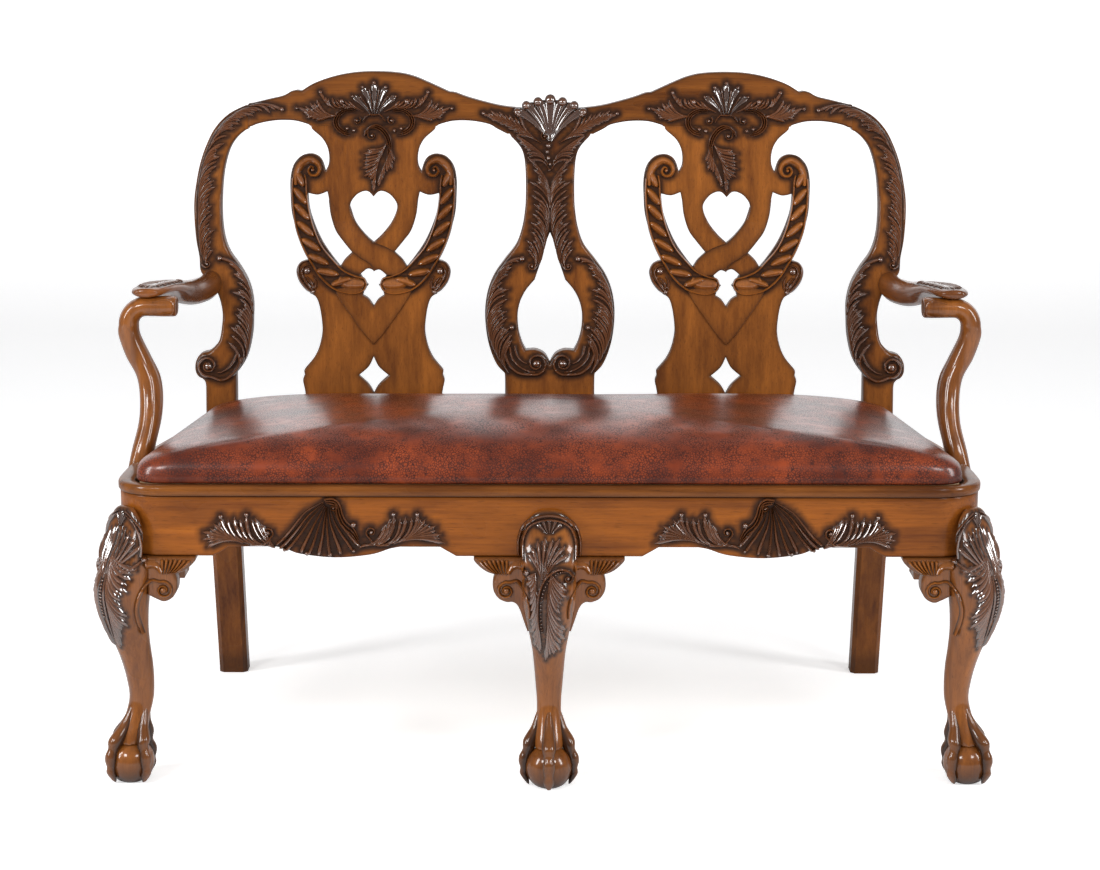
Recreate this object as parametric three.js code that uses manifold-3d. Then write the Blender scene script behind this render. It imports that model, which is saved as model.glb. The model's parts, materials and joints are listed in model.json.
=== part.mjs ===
// A double chair-back settee with a drop-in leather seat, in millimetres, +Z up.
// While it is built, y is 0 at the front rail's face and grows to the back; x is 0 on the middle line.
import * as THREE from "three";
import { mergeVertices } from "three/addons/utils/BufferGeometryUtils.js";
import Module from "manifold-3d";

const wasm = await Module();
wasm.setup();

// Driving dimensions

// Clearance between pieces that touch, and the overrun of a cutting solid
const gap = 0.3;
const overrun = 20;

// Seat rails in plan
const seatWidth = 1280;
const sideTaper = 68;
const seatDepth = 485;
const cornerRadius = 70;
const cornerRun = 25;
const railThickness = 45;
const rearRailThickness = 32;
const rearRailSetback = 3;

// Seat rails in height
const railTop = 439;
const railHeight = 90;
const railLift = 14;
const sideRailLift = 9;
const rearRailHeight = 74;

// Moulding on the seat rails
const mouldingHeight = 15;
const mouldingOverhang = 3;
const mouldingRound = 3;

// Drop-in seat
const padSideInset = 20;
const padRearSideInset = 13;
const padFrontY = 18;
const padRearClearance = 7;
const padCornerInset = 16;
const padRearRadius = 16;
const padCrown = 74;
const padLip = 6;
const padClearance = 2;
const seatFrameThickness = 14;
const seatFrameWidth = 50;
const webbingThickness = 3;
const frameInset = 3;

// Cabriole legs
const kneeHalf = 40;
const footRadius = 35;
const footFlatRadius = 19;
const talonRadius = 8;
const cartoucheHeight = 72;
const legBlockHalf = 38;
const legBlockDepth = 40;
const legBlockHeight = 46;
const legBlockInset = 6;
const stileSize = 50;
const stileTopDrop = 7;

// Knee brackets
const bracketLength = 73;
const bracketHeight = 68;
const bracketThickness = 32;
const bracketFrontOverhang = 8;

// Back
const rakeShare = 0.15;
const rakeRise = 6;
const postInset = 28;
const postWidth = 50;
const postThickness = 30;
const postSeatThickness = 41;
const postBlend = 115;
const rearLegThickness = 47;
const rearFootThickness = 42;
const rearFootWidth = 48;
const rearFootSetback = 78;
const rearLegChamfer = 7;
const crestTop = 1025;
const crestThickness = 28;
const splatToPost = 87;
const splatToLyre = 43;
const splatThickness = 14;
const shoeHeight = 36;
const shoeThickness = 26;
const shoeOverhang = 8;
const lyreHalf = 107;

// Raised work on the back
const ropeDepth = 10;
const strapRelief = 3;
const shieldRelief = 4;
const voluteRelief = 5;
const postVoluteRadius = 19;
const lyreVoluteRadius = 18;

// Arms
const armHeight = 681;
const armTubeSize = 38;
const armSunk = 9;
const armRise = 27;
const paddleThickness = 14;
const paddleInset = 14;
const paddleSetback = 15;
const supportWidth = 34;
const supportDepth = 80;
const supportFootY = 205;
const supportLap = 42;
const crookRadius = 28;
const crookLength = 47;

// Carvings
const crestCarvingHalf = 126;
const crestShellHalf = 66;
const railCarvingHalf = 170;
const railCarvingDrop = 14;
const carvingRelief = 11;
const carvingGround = 3;

// Blocks inside the frame
const braceWidth = 40;
const braceHeight = 42;
const cornerBlockThickness = 30;
const cornerBlockReach = 62;

// Materials
const walnut = new THREE.MeshStandardMaterial({ color: 0x8a4a1d, roughness: 0.32, metalness: 0 });
const darkWalnut = new THREE.MeshStandardMaterial({ color: 0x4a2412, roughness: 0.35, metalness: 0 });
const beech = new THREE.MeshStandardMaterial({ color: 0xb98a58, roughness: 0.7, metalness: 0 });
const leather = new THREE.MeshStandardMaterial({ color: 0x7c2a17, roughness: 0.3, metalness: 0 });
const jute = new THREE.MeshStandardMaterial({ color: 0x9a8258, roughness: 0.95, metalness: 0 });

// Places that several pieces share
const railBottom = railTop - railHeight;
const sideRailBottom = railBottom + sideRailLift;
const rearRailBottom = railTop - rearRailHeight;
const rakeStart = railTop + rakeRise;
const halfSeat = seatWidth / 2;
const cornerX = halfSeat - cornerRadius;
const cornerJointY = cornerRadius + cornerRun;
const sideRun = seatDepth - cornerRadius;
const sideRadius = (sideTaper * sideTaper + sideRun * sideRun) / (2 * sideTaper);
const padFrontHalf = halfSeat - padSideInset;
const padRearHalf = halfSeat - sideTaper - padRearSideInset;
const padRearY = seatDepth - padRearClearance;
const padCornerRadius = cornerRadius - padCornerInset;
const rebateTop = railTop + gap;
const padBottom = rebateTop + seatFrameThickness + gap;
const postHalfSpan = halfSeat - sideTaper - postInset;
const postInnerX = postHalfSpan - postWidth / 2;
const postOuterX = postHalfSpan + postWidth / 2;
const rearRailY = seatDepth + rearRailSetback;
const shoeTop = railTop + gap + shoeHeight;

// The back rises from the seat rails to the crest; its outlines are shares of that rise. The joint
// of stile and crest lies inside the post, at a share of the post's width from its inner face.
const backRise = crestTop - railTop;
const stileJointShare = -0.44;
const crestJointX = postInnerX + stileJointShare * postWidth;
const splatJointShare = 0.85;
const lyreJointShare = 0.829;

// Each splat fills its place between the middle post and the back post.
const splatHalf = (postInnerX - splatToPost - splatToLyre - lyreHalf) / 2;
const chairX = lyreHalf + splatToLyre + splatHalf;

// How far the face of the back leans back at a height.
function lean(z) {
  return rakeShare * (z - rakeStart);
}

// A closed three.js geometry as a solid that can be joined and cut, faces outward.
function solid(geometry) {
  const bare = geometry.index ? geometry.toNonIndexed() : geometry.clone();
  bare.deleteAttribute("normal");
  bare.deleteAttribute("uv");
  const merged = mergeVertices(bare, 1e-4);
  const triVerts = new Uint32Array(merged.index.array);
  const vertProperties = new Float32Array(merged.attributes.position.array);
  const made = new wasm.Manifold(new wasm.Mesh({ numProp: 3, vertProperties, triVerts }));
  if (made.volume() >= 0) return made;
  for (let i = 0; i < triVerts.length; i += 3) {
    [triVerts[i + 1], triVerts[i + 2]] = [triVerts[i + 2], triVerts[i + 1]];
  }
  return new wasm.Manifold(new wasm.Mesh({ numProp: 3, vertProperties, triVerts }));
}

// The solid as a geometry with flat shaded faces.
function geometryOf(made) {
  const m = made.getMesh();
  const corners = new Float32Array(m.numVert * 3);
  for (let i = 0; i < m.numVert; i++) {
    corners.set(m.vertProperties.subarray(i * m.numProp, i * m.numProp + 3), i * 3);
  }
  const indexed = new THREE.BufferGeometry();
  indexed.setAttribute("position", new THREE.BufferAttribute(corners, 3));
  indexed.setIndex(new THREE.BufferAttribute(m.triVerts, 1));
  const flat = indexed.toNonIndexed();
  flat.computeVertexNormals();
  return flat;
}

function joined(solids) {
  return solids.reduce((all, one) => all.add(one));
}

const settee = new THREE.Group();

function piece(name, made, material) {
  const mesh = new THREE.Mesh(geometryOf(made), material);
  mesh.name = name;
  settee.add(mesh);
  return mesh;
}

// A left piece and its mirror image on the right.
function pair(name, made, material) {
  const left = piece(name + "_left", made, material);
  const right = new THREE.Mesh(left.geometry, material);
  right.name = name + "_right";
  right.scale.x = -1;
  settee.add(right);
}

// Points of an outline: each run of two points is a straight edge, a longer one is a smooth curve.
// Runs join at corners, so a run starts where the last one ended.
function outline(runs, width, height, stepsPerSpan = 2) {
  const points = [];
  for (const run of runs) {
    const knots = run.map(([x, z]) => new THREE.Vector2(x * width, z * height));
    const spans = knots.length - 1;
    const stretch = spans > 1 ? new THREE.SplineCurve(knots).getPoints(spans * stepsPerSpan) : knots;
    const from = points.length ? 1 : 0;
    points.push(...stretch.slice(from));
  }
  return points;
}

function moved(points, dx, dz) {
  return points.map((p) => new THREE.Vector2(p.x + dx, p.y + dz));
}

// Points with their heights kept between two levels, without the repeats that this makes.
function between(points, low, high) {
  const kept = points.map((p) => new THREE.Vector2(p.x, THREE.MathUtils.clamp(p.y, low, high)));
  return kept.filter((p, i) => i === 0 || p.distanceTo(kept[i - 1]) > gap);
}

// A half outline from the top of the middle line to its bottom, closed with its mirror image.
function mirrored(half) {
  const other = half.filter((p) => Math.abs(p.x) > gap).map((p) => new THREE.Vector2(-p.x, p.y));
  return [...half, ...other.reverse()];
}

// An x, z outline as a board whose front face lies at frontY.
function board(points, frontY, thickness, holes = []) {
  const shape = new THREE.Shape(points);
  shape.holes = holes.map((hole) => new THREE.Path(hole));
  const flat = new THREE.ExtrudeGeometry(shape, { depth: thickness, bevelEnabled: false });
  return solid(flat.rotateX(Math.PI / 2).translate(0, frontY + thickness, 0));
}

// An x, y outline as a slab from bottomZ upward.
function slab(points, bottomZ, height) {
  const flat = new THREE.ExtrudeGeometry(new THREE.Shape(points), { depth: height, bevelEnabled: false });
  return solid(flat.translate(0, 0, bottomZ));
}

// A y, z profile as a bar along x.
function bar(points, fromX, toX) {
  const length = toX - fromX;
  const flat = new THREE.ExtrudeGeometry(new THREE.Shape(points), { depth: length, bevelEnabled: false });
  const turn = new THREE.Matrix4().makeBasis(
    new THREE.Vector3(0, 1, 0),
    new THREE.Vector3(0, 0, 1),
    new THREE.Vector3(1, 0, 0),
  );
  return solid(flat.applyMatrix4(turn).translate(fromX, 0, 0));
}

function box(x0, x1, y0, y1, z0, z1) {
  const block = new THREE.BoxGeometry(x1 - x0, y1 - y0, z1 - z0);
  return solid(block.translate((x0 + x1) / 2, (y0 + y1) / 2, (z0 + z1) / 2));
}

// Leans a geometry or solid back with the rake of the back, from the level where the rake starts.
function raked(made) {
  const geometry = geometryOf(made);
  const position = geometry.attributes.position;
  for (let i = 0; i < position.count; i++) {
    position.setY(i, position.getY(i) + lean(position.getZ(i)));
  }
  return solid(geometry);
}

// A skin over rings of points, closed at both ends.
function loft(rings) {
  const count = rings[0].length;
  const corners = [];
  const triangle = (a, b, c) => corners.push(...a.toArray(), ...b.toArray(), ...c.toArray());
  for (let k = 0; k + 1 < rings.length; k++) {
    for (let i = 0; i < count; i++) {
      const j = (i + 1) % count;
      triangle(rings[k][i], rings[k][j], rings[k + 1][j]);
      triangle(rings[k][i], rings[k + 1][j], rings[k + 1][i]);
    }
  }
  const first = rings[0];
  const last = rings[rings.length - 1];
  for (let i = 1; i + 1 < count; i++) {
    triangle(first[0], first[i + 1], first[i]);
    triangle(last[0], last[i], last[i + 1]);
  }
  const geometry = new THREE.BufferGeometry();
  geometry.setAttribute("position", new THREE.Float32BufferAttribute(corners, 3));
  return solid(geometry);
}

// A rounded ring with its own two half axes; a power over 2 squares it up.
function ring(centre, axisU, axisV, halfU, halfV, sides, power = 2) {
  const points = [];
  for (let i = 0; i < sides; i++) {
    const turn = (2 * Math.PI * i) / sides;
    const u = Math.sign(Math.cos(turn)) * Math.abs(Math.cos(turn)) ** (2 / power);
    const v = Math.sign(Math.sin(turn)) * Math.abs(Math.sin(turn)) ** (2 / power);
    points.push(centre.clone().addScaledVector(axisU, u * halfU).addScaledVector(axisV, v * halfV));
  }
  return points;
}

// A ridge of round section along x, z points, sunk into the face at y; widths follow the points.
function ridge(knots, halfWidths, y, depth, steps, sides) {
  const path = new THREE.CatmullRomCurve3(knots.map((p) => new THREE.Vector3(p.x, y, p.y)));
  const spans = knots.length - 1;
  const outward = new THREE.Vector3(0, 1, 0);
  const rings = [];
  for (let k = 0; k <= steps; k++) {
    const t = k / steps;
    const at = Math.min(Math.floor(t * spans), spans - 1);
    const half = THREE.MathUtils.lerp(halfWidths[at], halfWidths[at + 1], t * spans - at);
    const across = path.getTangent(t).cross(outward).normalize();
    rings.push(ring(path.getPoint(t), across, outward, half, depth, sides));
  }
  return loft(rings);
}

// Places on a spiral that winds into its eye.
const spiralCloseShare = 0.72;

function spiral(eyeX, eyeZ, radius, startTurn, turns, count, hand) {
  const points = [];
  for (let i = 0; i <= count; i++) {
    const t = i / count;
    const reach = radius * (1 - spiralCloseShare * t);
    const angle = 2 * Math.PI * (startTurn + hand * turns * t);
    points.push(new THREE.Vector2(eyeX + reach * Math.cos(angle), eyeZ + reach * Math.sin(angle)));
  }
  return points;
}

// A volute: a spiral ridge round a domed eye, standing proud of the face at y.
const voluteTurns = 1.25;
const voluteRidgeShare = 0.2;
const voluteTaperShare = 0.4;
const voluteEyeShare = 0.32;
const voluteEyeRiseShare = 1.2;

function volute(eyeX, eyeZ, radius, y, startTurn, hand) {
  const ridgeHalf = radius * voluteRidgeShare;
  const steps = 10;
  const path = spiral(eyeX, eyeZ, radius - ridgeHalf, startTurn, voluteTurns, steps, hand);
  const widths = path.map((p, i) => ridgeHalf * (1 - (voluteTaperShare * i) / steps));
  const coil = ridge(path, widths, y, voluteRelief, steps + 2, 5);
  const eyeRadius = radius * voluteEyeShare;
  const eye = new THREE.SphereGeometry(eyeRadius, 6, 4);
  eye.scale(1, (voluteRelief * voluteEyeRiseShare) / eyeRadius, 1);
  return coil.add(solid(eye.translate(eyeX, y, eyeZ)));
}

// A carved leaf or flute: a tapering lobe with a ridge, flat on its back at y.
const lobeWidthShares = [0.6, 1, 0.12];
const lobeTipShare = 0.45;

function lobe([fromX, fromZ], [viaX, viaZ], [toX, toZ], half, y, relief) {
  const path = new THREE.QuadraticBezierCurve(
    new THREE.Vector2(fromX, fromZ),
    new THREE.Vector2(viaX, viaZ),
    new THREE.Vector2(toX, toZ),
  );
  const rings = lobeWidthShares.map((share, k) => {
    const t = k / (lobeWidthShares.length - 1);
    const at = path.getPoint(t);
    const along = path.getTangent(t);
    const side = new THREE.Vector2(-along.y, along.x).multiplyScalar(half * share);
    const rise = relief * THREE.MathUtils.lerp(lobeTipShare, 1, share);
    return [
      new THREE.Vector3(at.x - side.x, y, at.y - side.y),
      new THREE.Vector3(at.x, y - rise, at.y),
      new THREE.Vector3(at.x + side.x, y, at.y + side.y),
    ];
  });
  return loft(rings);
}

// Lobes listed in shares of one size about a place, with both sides where a lobe is off the middle.
function carving(lobeShares, size, x, z, y, relief) {
  const made = [];
  for (const [from, via, to, half] of lobeShares) {
    const hands = from[0] === 0 && via[0] === 0 && to[0] === 0 ? [1] : [1, -1];
    for (const hand of hands) {
      const place = ([px, pz]) => [x + hand * px * size, z + pz * size];
      made.push(lobe(place(from), place(via), place(to), half * size, y, relief));
    }
  }
  return made;
}

// Seat rails

// The outside of the side rail, which bows in from the front corner to the back post.
function sideX(y, inset) {
  const along = y - cornerRadius;
  const centreX = halfSeat - sideRadius;
  const reach = Math.sqrt((sideRadius - inset) ** 2 - along ** 2);
  return centreX + reach;
}

function sidePath(fromY, toY, inset, count) {
  const points = [];
  for (let i = 0; i <= count; i++) {
    const y = THREE.MathUtils.lerp(fromY, toY, i / count);
    points.push(new THREE.Vector2(-sideX(y, inset), y));
  }
  return points;
}

// From the middle of the front round the left corner to a place on the side.
function cornerPath(toY, inset) {
  const points = [new THREE.Vector2(0, inset)];
  const radius = cornerRadius - inset;
  const steps = 8;
  for (let i = 0; i <= steps; i++) {
    const turn = (Math.PI / 2) * (i / steps);
    const x = -cornerX - radius * Math.sin(turn);
    points.push(new THREE.Vector2(x, cornerRadius - radius * Math.cos(turn)));
  }
  points.push(new THREE.Vector2(-sideX(toY, inset), toY));
  return points;
}

function bothSides(path) {
  const right = path.slice(1).map((p) => new THREE.Vector2(-p.x, p.y));
  return [...right.reverse(), ...path];
}

function frontBand(outerInset, innerInset, toY) {
  const outer = bothSides(cornerPath(toY, outerInset));
  const inner = bothSides(cornerPath(toY, innerInset));
  return [...outer, ...inner.reverse()];
}

// The rail's shaped lower edge, in shares of half the seat width and of the lift of its arches.
const railEdgeShares = [
  [[1.2, 0], [0.777, 0]],
  [[0.777, 0], [0.758, 0.43], [0.739, 1]],
  [[0.739, 1], [0.632, 1]],
  [[0.632, 1], [0.608, 0.79], [0.573, 0.1], [0.494, -0.2], [0.412, 0.1], [0.367, 0.79], [0.344, 1]],
  [[0.344, 1], [0.252, 1]],
  [[0.252, 1], [0.236, 0.57], [0.214, 0]],
  [[0.214, 0], [0, 0]],
];

function frontRail() {
  const edge = outline(railEdgeShares, -halfSeat, railLift);
  const below = [
    new THREE.Vector2(0, -overrun),
    new THREE.Vector2(-railEdgeShares[0][0][0] * halfSeat, -overrun),
    ...edge,
  ];
  const half = moved(below, 0, railBottom);
  const cut = board(mirrored(half.reverse()), -overrun, cornerJointY + 2 * overrun);
  const depth = railTop - railBottom + railLift;
  const blank = slab(frontBand(0, railThickness, cornerJointY), railTop - depth, depth);
  return blank.subtract(cut);
}

function sideRail() {
  const from = cornerJointY + gap;
  const to = seatDepth - gap;
  const outer = sidePath(from, to, 0, 8);
  const inner = sidePath(from, to, railThickness, 8);
  return slab([...outer, ...inner.reverse()], sideRailBottom, railTop - sideRailBottom);
}

piece("rail_front", frontRail(), walnut);
pair("rail_side", sideRail(), walnut);
piece(
  "rail_rear",
  box(
    -postInnerX + gap,
    postInnerX - gap,
    rearRailY,
    rearRailY + rearRailThickness,
    rearRailBottom,
    railTop,
  ),
  walnut,
);

// Moulding, with a rebate that follows the edge of the drop-in seat

function padSideX(y) {
  const t = (y - padFrontY) / (padRearY - padFrontY);
  return THREE.MathUtils.lerp(padFrontHalf, padRearHalf, t);
}

// The seat's outline shrunk by an inset, from the middle of the front round the left side to the back.
const padCornerShrinkShare = 0.35;
const padCornerLeastShare = 0.4;

function padHalf(inset, sideInset = inset) {
  const left = (y) => -(padSideX(y) - sideInset);
  const frontRadius = Math.max(
    padCornerRadius - inset * padCornerShrinkShare,
    padCornerRadius * padCornerLeastShare,
  );
  const front = padFrontY + inset;
  const rear = padRearY - inset;
  const corner = new THREE.Path();
  corner.moveTo(0, front);
  corner.lineTo(left(front) + frontRadius, front);
  corner.quadraticCurveTo(left(front), front, left(front + frontRadius), front + frontRadius);
  corner.lineTo(left(rear - padRearRadius), rear - padRearRadius);
  corner.quadraticCurveTo(left(rear), rear, left(rear) + padRearRadius, rear);
  corner.lineTo(0, rear);
  return corner;
}

function rebatePath(toY) {
  const inset = -padClearance;
  const front = padFrontY + inset;
  const left = (y) => -(padSideX(y) - inset);
  const radius = padCornerRadius;
  const points = [new THREE.Vector2(0, front)];
  const turn = new THREE.QuadraticBezierCurve(
    new THREE.Vector2(left(front) + radius, front),
    new THREE.Vector2(left(front), front),
    new THREE.Vector2(left(front + radius), front + radius),
  );
  points.push(...turn.getPoints(6));
  points.push(new THREE.Vector2(left(toY), toY));
  return points;
}

function moulding(points) {
  const shape = new THREE.Shape(points);
  const rounded = new THREE.ExtrudeGeometry(shape, {
    depth: mouldingHeight - 2 * mouldingRound,
    bevelThickness: mouldingRound,
    bevelSize: mouldingRound,
    bevelOffset: -mouldingRound,
    bevelSegments: 1,
  });
  return solid(rounded.translate(0, 0, rebateTop + mouldingRound));
}

const supportFrontY = supportFootY - supportDepth / 2;
const supportRearY = supportFootY + supportDepth / 2;

function frontMoulding() {
  const toY = supportFrontY - gap;
  const outer = bothSides(cornerPath(toY, -mouldingOverhang));
  const inner = bothSides(rebatePath(toY));
  return moulding([...outer, ...inner.reverse()]);
}

function sideMoulding() {
  const from = supportRearY + gap;
  const to = seatDepth - gap;
  const outer = sidePath(from, to, -mouldingOverhang, 6);
  const innerX = (y) => -(padSideX(y) + padClearance);
  const inner = [new THREE.Vector2(innerX(from), from), new THREE.Vector2(innerX(to), to)];
  return moulding([...outer, ...inner.reverse()]);
}

piece("seat_moulding_front", frontMoulding(), walnut);
pair("seat_moulding_side", sideMoulding(), walnut);

// Cabriole legs with claw-and-ball feet

// Rows up the leg: height as a share of the rail's underside, then the centre's reach from the rail
// face, the half width and the half depth as shares of the knee's half width.
const legRowShares = [
  [0.17, 0.3, 0.66, 0.66],
  [0.215, 0.15, 0.58, 0.58],
  [0.275, -0.04, 0.475, 0.475],
  [0.355, -0.26, 0.46, 0.46],
  [0.436, -0.24, 0.51, 0.51],
  [0.516, -0.125, 0.565, 0.575],
  [0.593, 0.05, 0.625, 0.65],
  [0.673, 0.25, 0.74, 0.775],
  [0.751, 0.38, 0.865, 0.9],
  [0.817, 0.42, 0.975, 0.975],
  [0.874, 0.38, 1, 1],
  [0.946, 0.2, 1, 0.95],
  [1, 0.05, 1, 0.9],
];

// The knee's cartouche on the rail: height above the rail's underside as a share of its own height,
// then the reach of its front and its half width as shares of the knee's half width.
const cartoucheRowShares = [
  [-0.3, 1.1, 1],
  [0, 0.93, 1.04],
  [0.25, 0.66, 1.06],
  [0.5, 0.48, 1],
  [0.75, 0.38, 0.85],
  [0.93, 0.32, 0.58],
  [1, 0.26, 0.3],
];

// A talon, from the ankle to the nail: height and reach from the foot's middle as shares of the
// ball's radius, then its thickness as a share of its own radius.
const talonRowShares = [
  [3.14, 0.33, 0.8],
  [2.4, 0.46, 1.05],
  [1.85, 0.68, 1.1],
  [1.4, 0.84, 0.95],
  [1, 0.95, 1.1],
  [0.55, 1.02, 0.85],
  [0.15, 0.92, 0.45],
];

// The first of the leg's rows that a knee bracket can touch.
const skinFrom = 7;
const cartoucheSquareness = 2.4;
const talonTiltShare = 0.6;

function legReach(z) {
  const at = z / railBottom;
  const rows = legRowShares;
  let k = 0;
  while (k < rows.length - 2 && rows[k + 1][0] < at) k++;
  const t = THREE.MathUtils.clamp((at - rows[k][0]) / (rows[k + 1][0] - rows[k][0]), 0, 1);
  return THREE.MathUtils.lerp(rows[k][1], rows[k + 1][1], t) * kneeHalf;
}

// The leg below the rail, its foot and the cartouche, about a place on the rail's face.
function cabriole(faceX, faceY, outward) {
  const across = new THREE.Vector3(-outward.y, outward.x, 0);
  const at = (reach, z) => new THREE.Vector3(faceX, faceY, z).addScaledVector(outward, reach);
  const under = railBottom - gap;
  const rows = legRowShares.map(([rise, reach, wide, deep]) =>
    ring(at(reach * kneeHalf, rise * under), across, outward, wide * kneeHalf, deep * kneeHalf, 12),
  );
  const skin = legRowShares.slice(skinFrom).map(([rise, reach, wide, deep]) => {
    const centre = at(reach * kneeHalf, rise * under);
    return ring(centre, across, outward, wide * kneeHalf + 2 * gap, deep * kneeHalf + 2 * gap, 12);
  });
  const rim = skin[skin.length - 1];
  skin.push(rim.map((p) => new THREE.Vector3(p.x, p.y, railTop)));
  const shield = (extra) => cartoucheRowShares.map(([rise, reach, wide]) => {
    const z = railBottom + rise * cartoucheHeight;
    const half = (reach * kneeHalf) / 2;
    const centre = at(half, z);
    return ring(centre, across, outward, wide * kneeHalf + extra, half + extra, 10, cartoucheSquareness);
  });
  const footReach = legRowShares[0][1] * kneeHalf;
  const ballZ = Math.sqrt(footRadius ** 2 - footFlatRadius ** 2);
  const ball = new THREE.SphereGeometry(footRadius, 12, 7).rotateX(Math.PI / 2);
  const middle = at(footReach, ballZ);
  const parts = [loft(rows), loft(shield(0)), solid(ball.translate(middle.x, middle.y, middle.z))];
  for (let k = 0; k < 4; k++) {
    const turn = (Math.PI / 2) * k;
    const to = outward.clone().applyAxisAngle(new THREE.Vector3(0, 0, 1), turn);
    const side = new THREE.Vector3(-to.y, to.x, 0);
    const rings = talonRowShares.map(([rise, reach, thick]) => {
      const z = rise * footRadius;
      const middleReach = legReach(Math.max(z, legRowShares[0][0] * railBottom));
      const centre = at(middleReach, z).addScaledVector(to, reach * footRadius);
      const half = thick * talonRadius;
      const tilted = new THREE.Vector3(to.x, to.y, talonTiltShare).normalize();
      return ring(centre, side, tilted, half, half, 5);
    });
    parts.push(loft(rings));
  }
  const span = seatWidth;
  const below = box(faceX - span, faceX + span, faceY - span, faceY + span, -2 * overrun, 0);
  return { whole: joined(parts).subtract(below), skin: loft(skin).add(loft(shield(2 * gap))) };
}

const diagonal = new THREE.Vector3(-1, -1, 0).normalize();
const stileTop = railTop - stileTopDrop;
const blockBottom = railBottom - legBlockHeight;
const blockTop = railBottom - gap;

function cornerLeg() {
  const faceX = -cornerX + cornerRadius * diagonal.x;
  const faceY = cornerRadius + cornerRadius * diagonal.y;
  const { whole, skin } = cabriole(faceX, faceY, diagonal);
  const railCurve = new THREE.CylinderGeometry(
    cornerRadius + gap,
    cornerRadius + gap,
    railTop,
    24,
  ).rotateX(Math.PI / 2);
  const rail = solid(railCurve.translate(-cornerX, cornerRadius, blockTop + railTop / 2));
  const x0 = -halfSeat + legBlockInset;
  const y0 = legBlockInset;
  const blockX = x0 + legBlockDepth;
  const block = box(x0, blockX, y0, y0 + legBlockDepth, blockBottom, blockTop);
  const inside = cornerRadius - railThickness - gap;
  const stile = new THREE.Shape();
  stile.moveTo(-cornerX + stileSize / 2, cornerRadius - inside);
  stile.lineTo(-cornerX, cornerRadius - inside);
  stile.absarc(-cornerX, cornerRadius, inside, -Math.PI / 2, Math.PI, true);
  const stileRear = cornerRadius + stileSize / 2;
  stile.lineTo(-sideX(stileRear, railThickness + gap), stileRear);
  stile.lineTo(-cornerX + stileSize / 2, stileRear);
  const post = slab(stile.getPoints(4), blockBottom, stileTop - blockBottom);
  const bracketBack = bracketThickness - bracketFrontOverhang + gap;
  const link = box(
    -halfSeat + bracketBack,
    -cornerX + stileSize / 2,
    bracketBack,
    stileRear,
    blockBottom,
    Math.min(blockTop, sideRailBottom - gap),
  );
  return { leg: joined([whole.subtract(rail), block, post, link]), skin, blockX };
}

function middleLeg() {
  const { whole, skin } = cabriole(0, 0, new THREE.Vector3(0, -1, 0));
  const reach = seatDepth;
  const rail = box(-halfSeat, halfSeat, -gap, reach, blockTop, 2 * railTop);
  const back = railThickness + gap + stileSize;
  const block = box(-legBlockHalf, legBlockHalf, 0, back, blockBottom, blockTop);
  const stile = box(-stileSize / 2, stileSize / 2, railThickness + gap, back, blockBottom, stileTop);
  return { leg: joined([whole.subtract(rail), block, stile]), skin };
}

const corner = cornerLeg();
const middleOne = middleLeg();
pair("leg_front", corner.leg, walnut);
piece("leg_front_middle", middleOne.leg, walnut);

// Knee brackets: a leaf wing that ends in a volute against the leg

// In shares of the bracket's length out from the leg and of its height down from the rail.
const bracketShares = [
  [[0, 0], [1, 0]],
  [[1, 0], [0.99, -0.08], [0.86, -0.23], [0.72, -0.33], [0.58, -0.38]],
  [[0.58, -0.38], [0.62, -0.55], [0.6, -0.75], [0.5, -0.92], [0.34, -1], [0.18, -0.94], [0, -0.84]],
  [[0, -0.84], [0, 0]],
];
const bracketEyeShares = [0.35, -0.75];
const bracketVoluteShare = 0.25;

function bracket(innerX, skin) {
  const frontY = -bracketFrontOverhang;
  const points = moved(outline(bracketShares, bracketLength, bracketHeight), innerX, railBottom - gap);
  const [eyeX, eyeZ] = bracketEyeShares;
  const eye = new THREE.Vector2(innerX + eyeX * bracketLength, railBottom + eyeZ * bracketHeight);
  const radius = bracketVoluteShare * bracketLength;
  const scroll = volute(eye.x, eye.y, radius, frontY, 0.3, -1);
  return board(points, frontY, bracketThickness).add(scroll).subtract(skin);
}

const frontBracket = bracket(corner.blockX + gap, corner.skin);
pair("knee_bracket_front", frontBracket, walnut);

// The side bracket is the front one mirrored about the corner's diagonal.
function sideBracket() {
  const flat = geometryOf(frontBracket);
  flat.translate(cornerX, -cornerRadius, 0);
  flat.applyMatrix4(new THREE.Matrix4().makeBasis(
    new THREE.Vector3(0, 1, 0),
    new THREE.Vector3(1, 0, 0),
    new THREE.Vector3(0, 0, 1),
  ));
  return solid(flat.translate(-cornerX, cornerRadius, 0));
}

pair("knee_bracket_side", sideBracket(), walnut);

function middleBracket() {
  const right = geometryOf(bracket(legBlockHalf + gap, middleOne.skin));
  return solid(right.scale(-1, 1, 1));
}

pair("knee_bracket_middle", middleBracket(), walnut);

// Back posts: rear leg and stile in one piece

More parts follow.
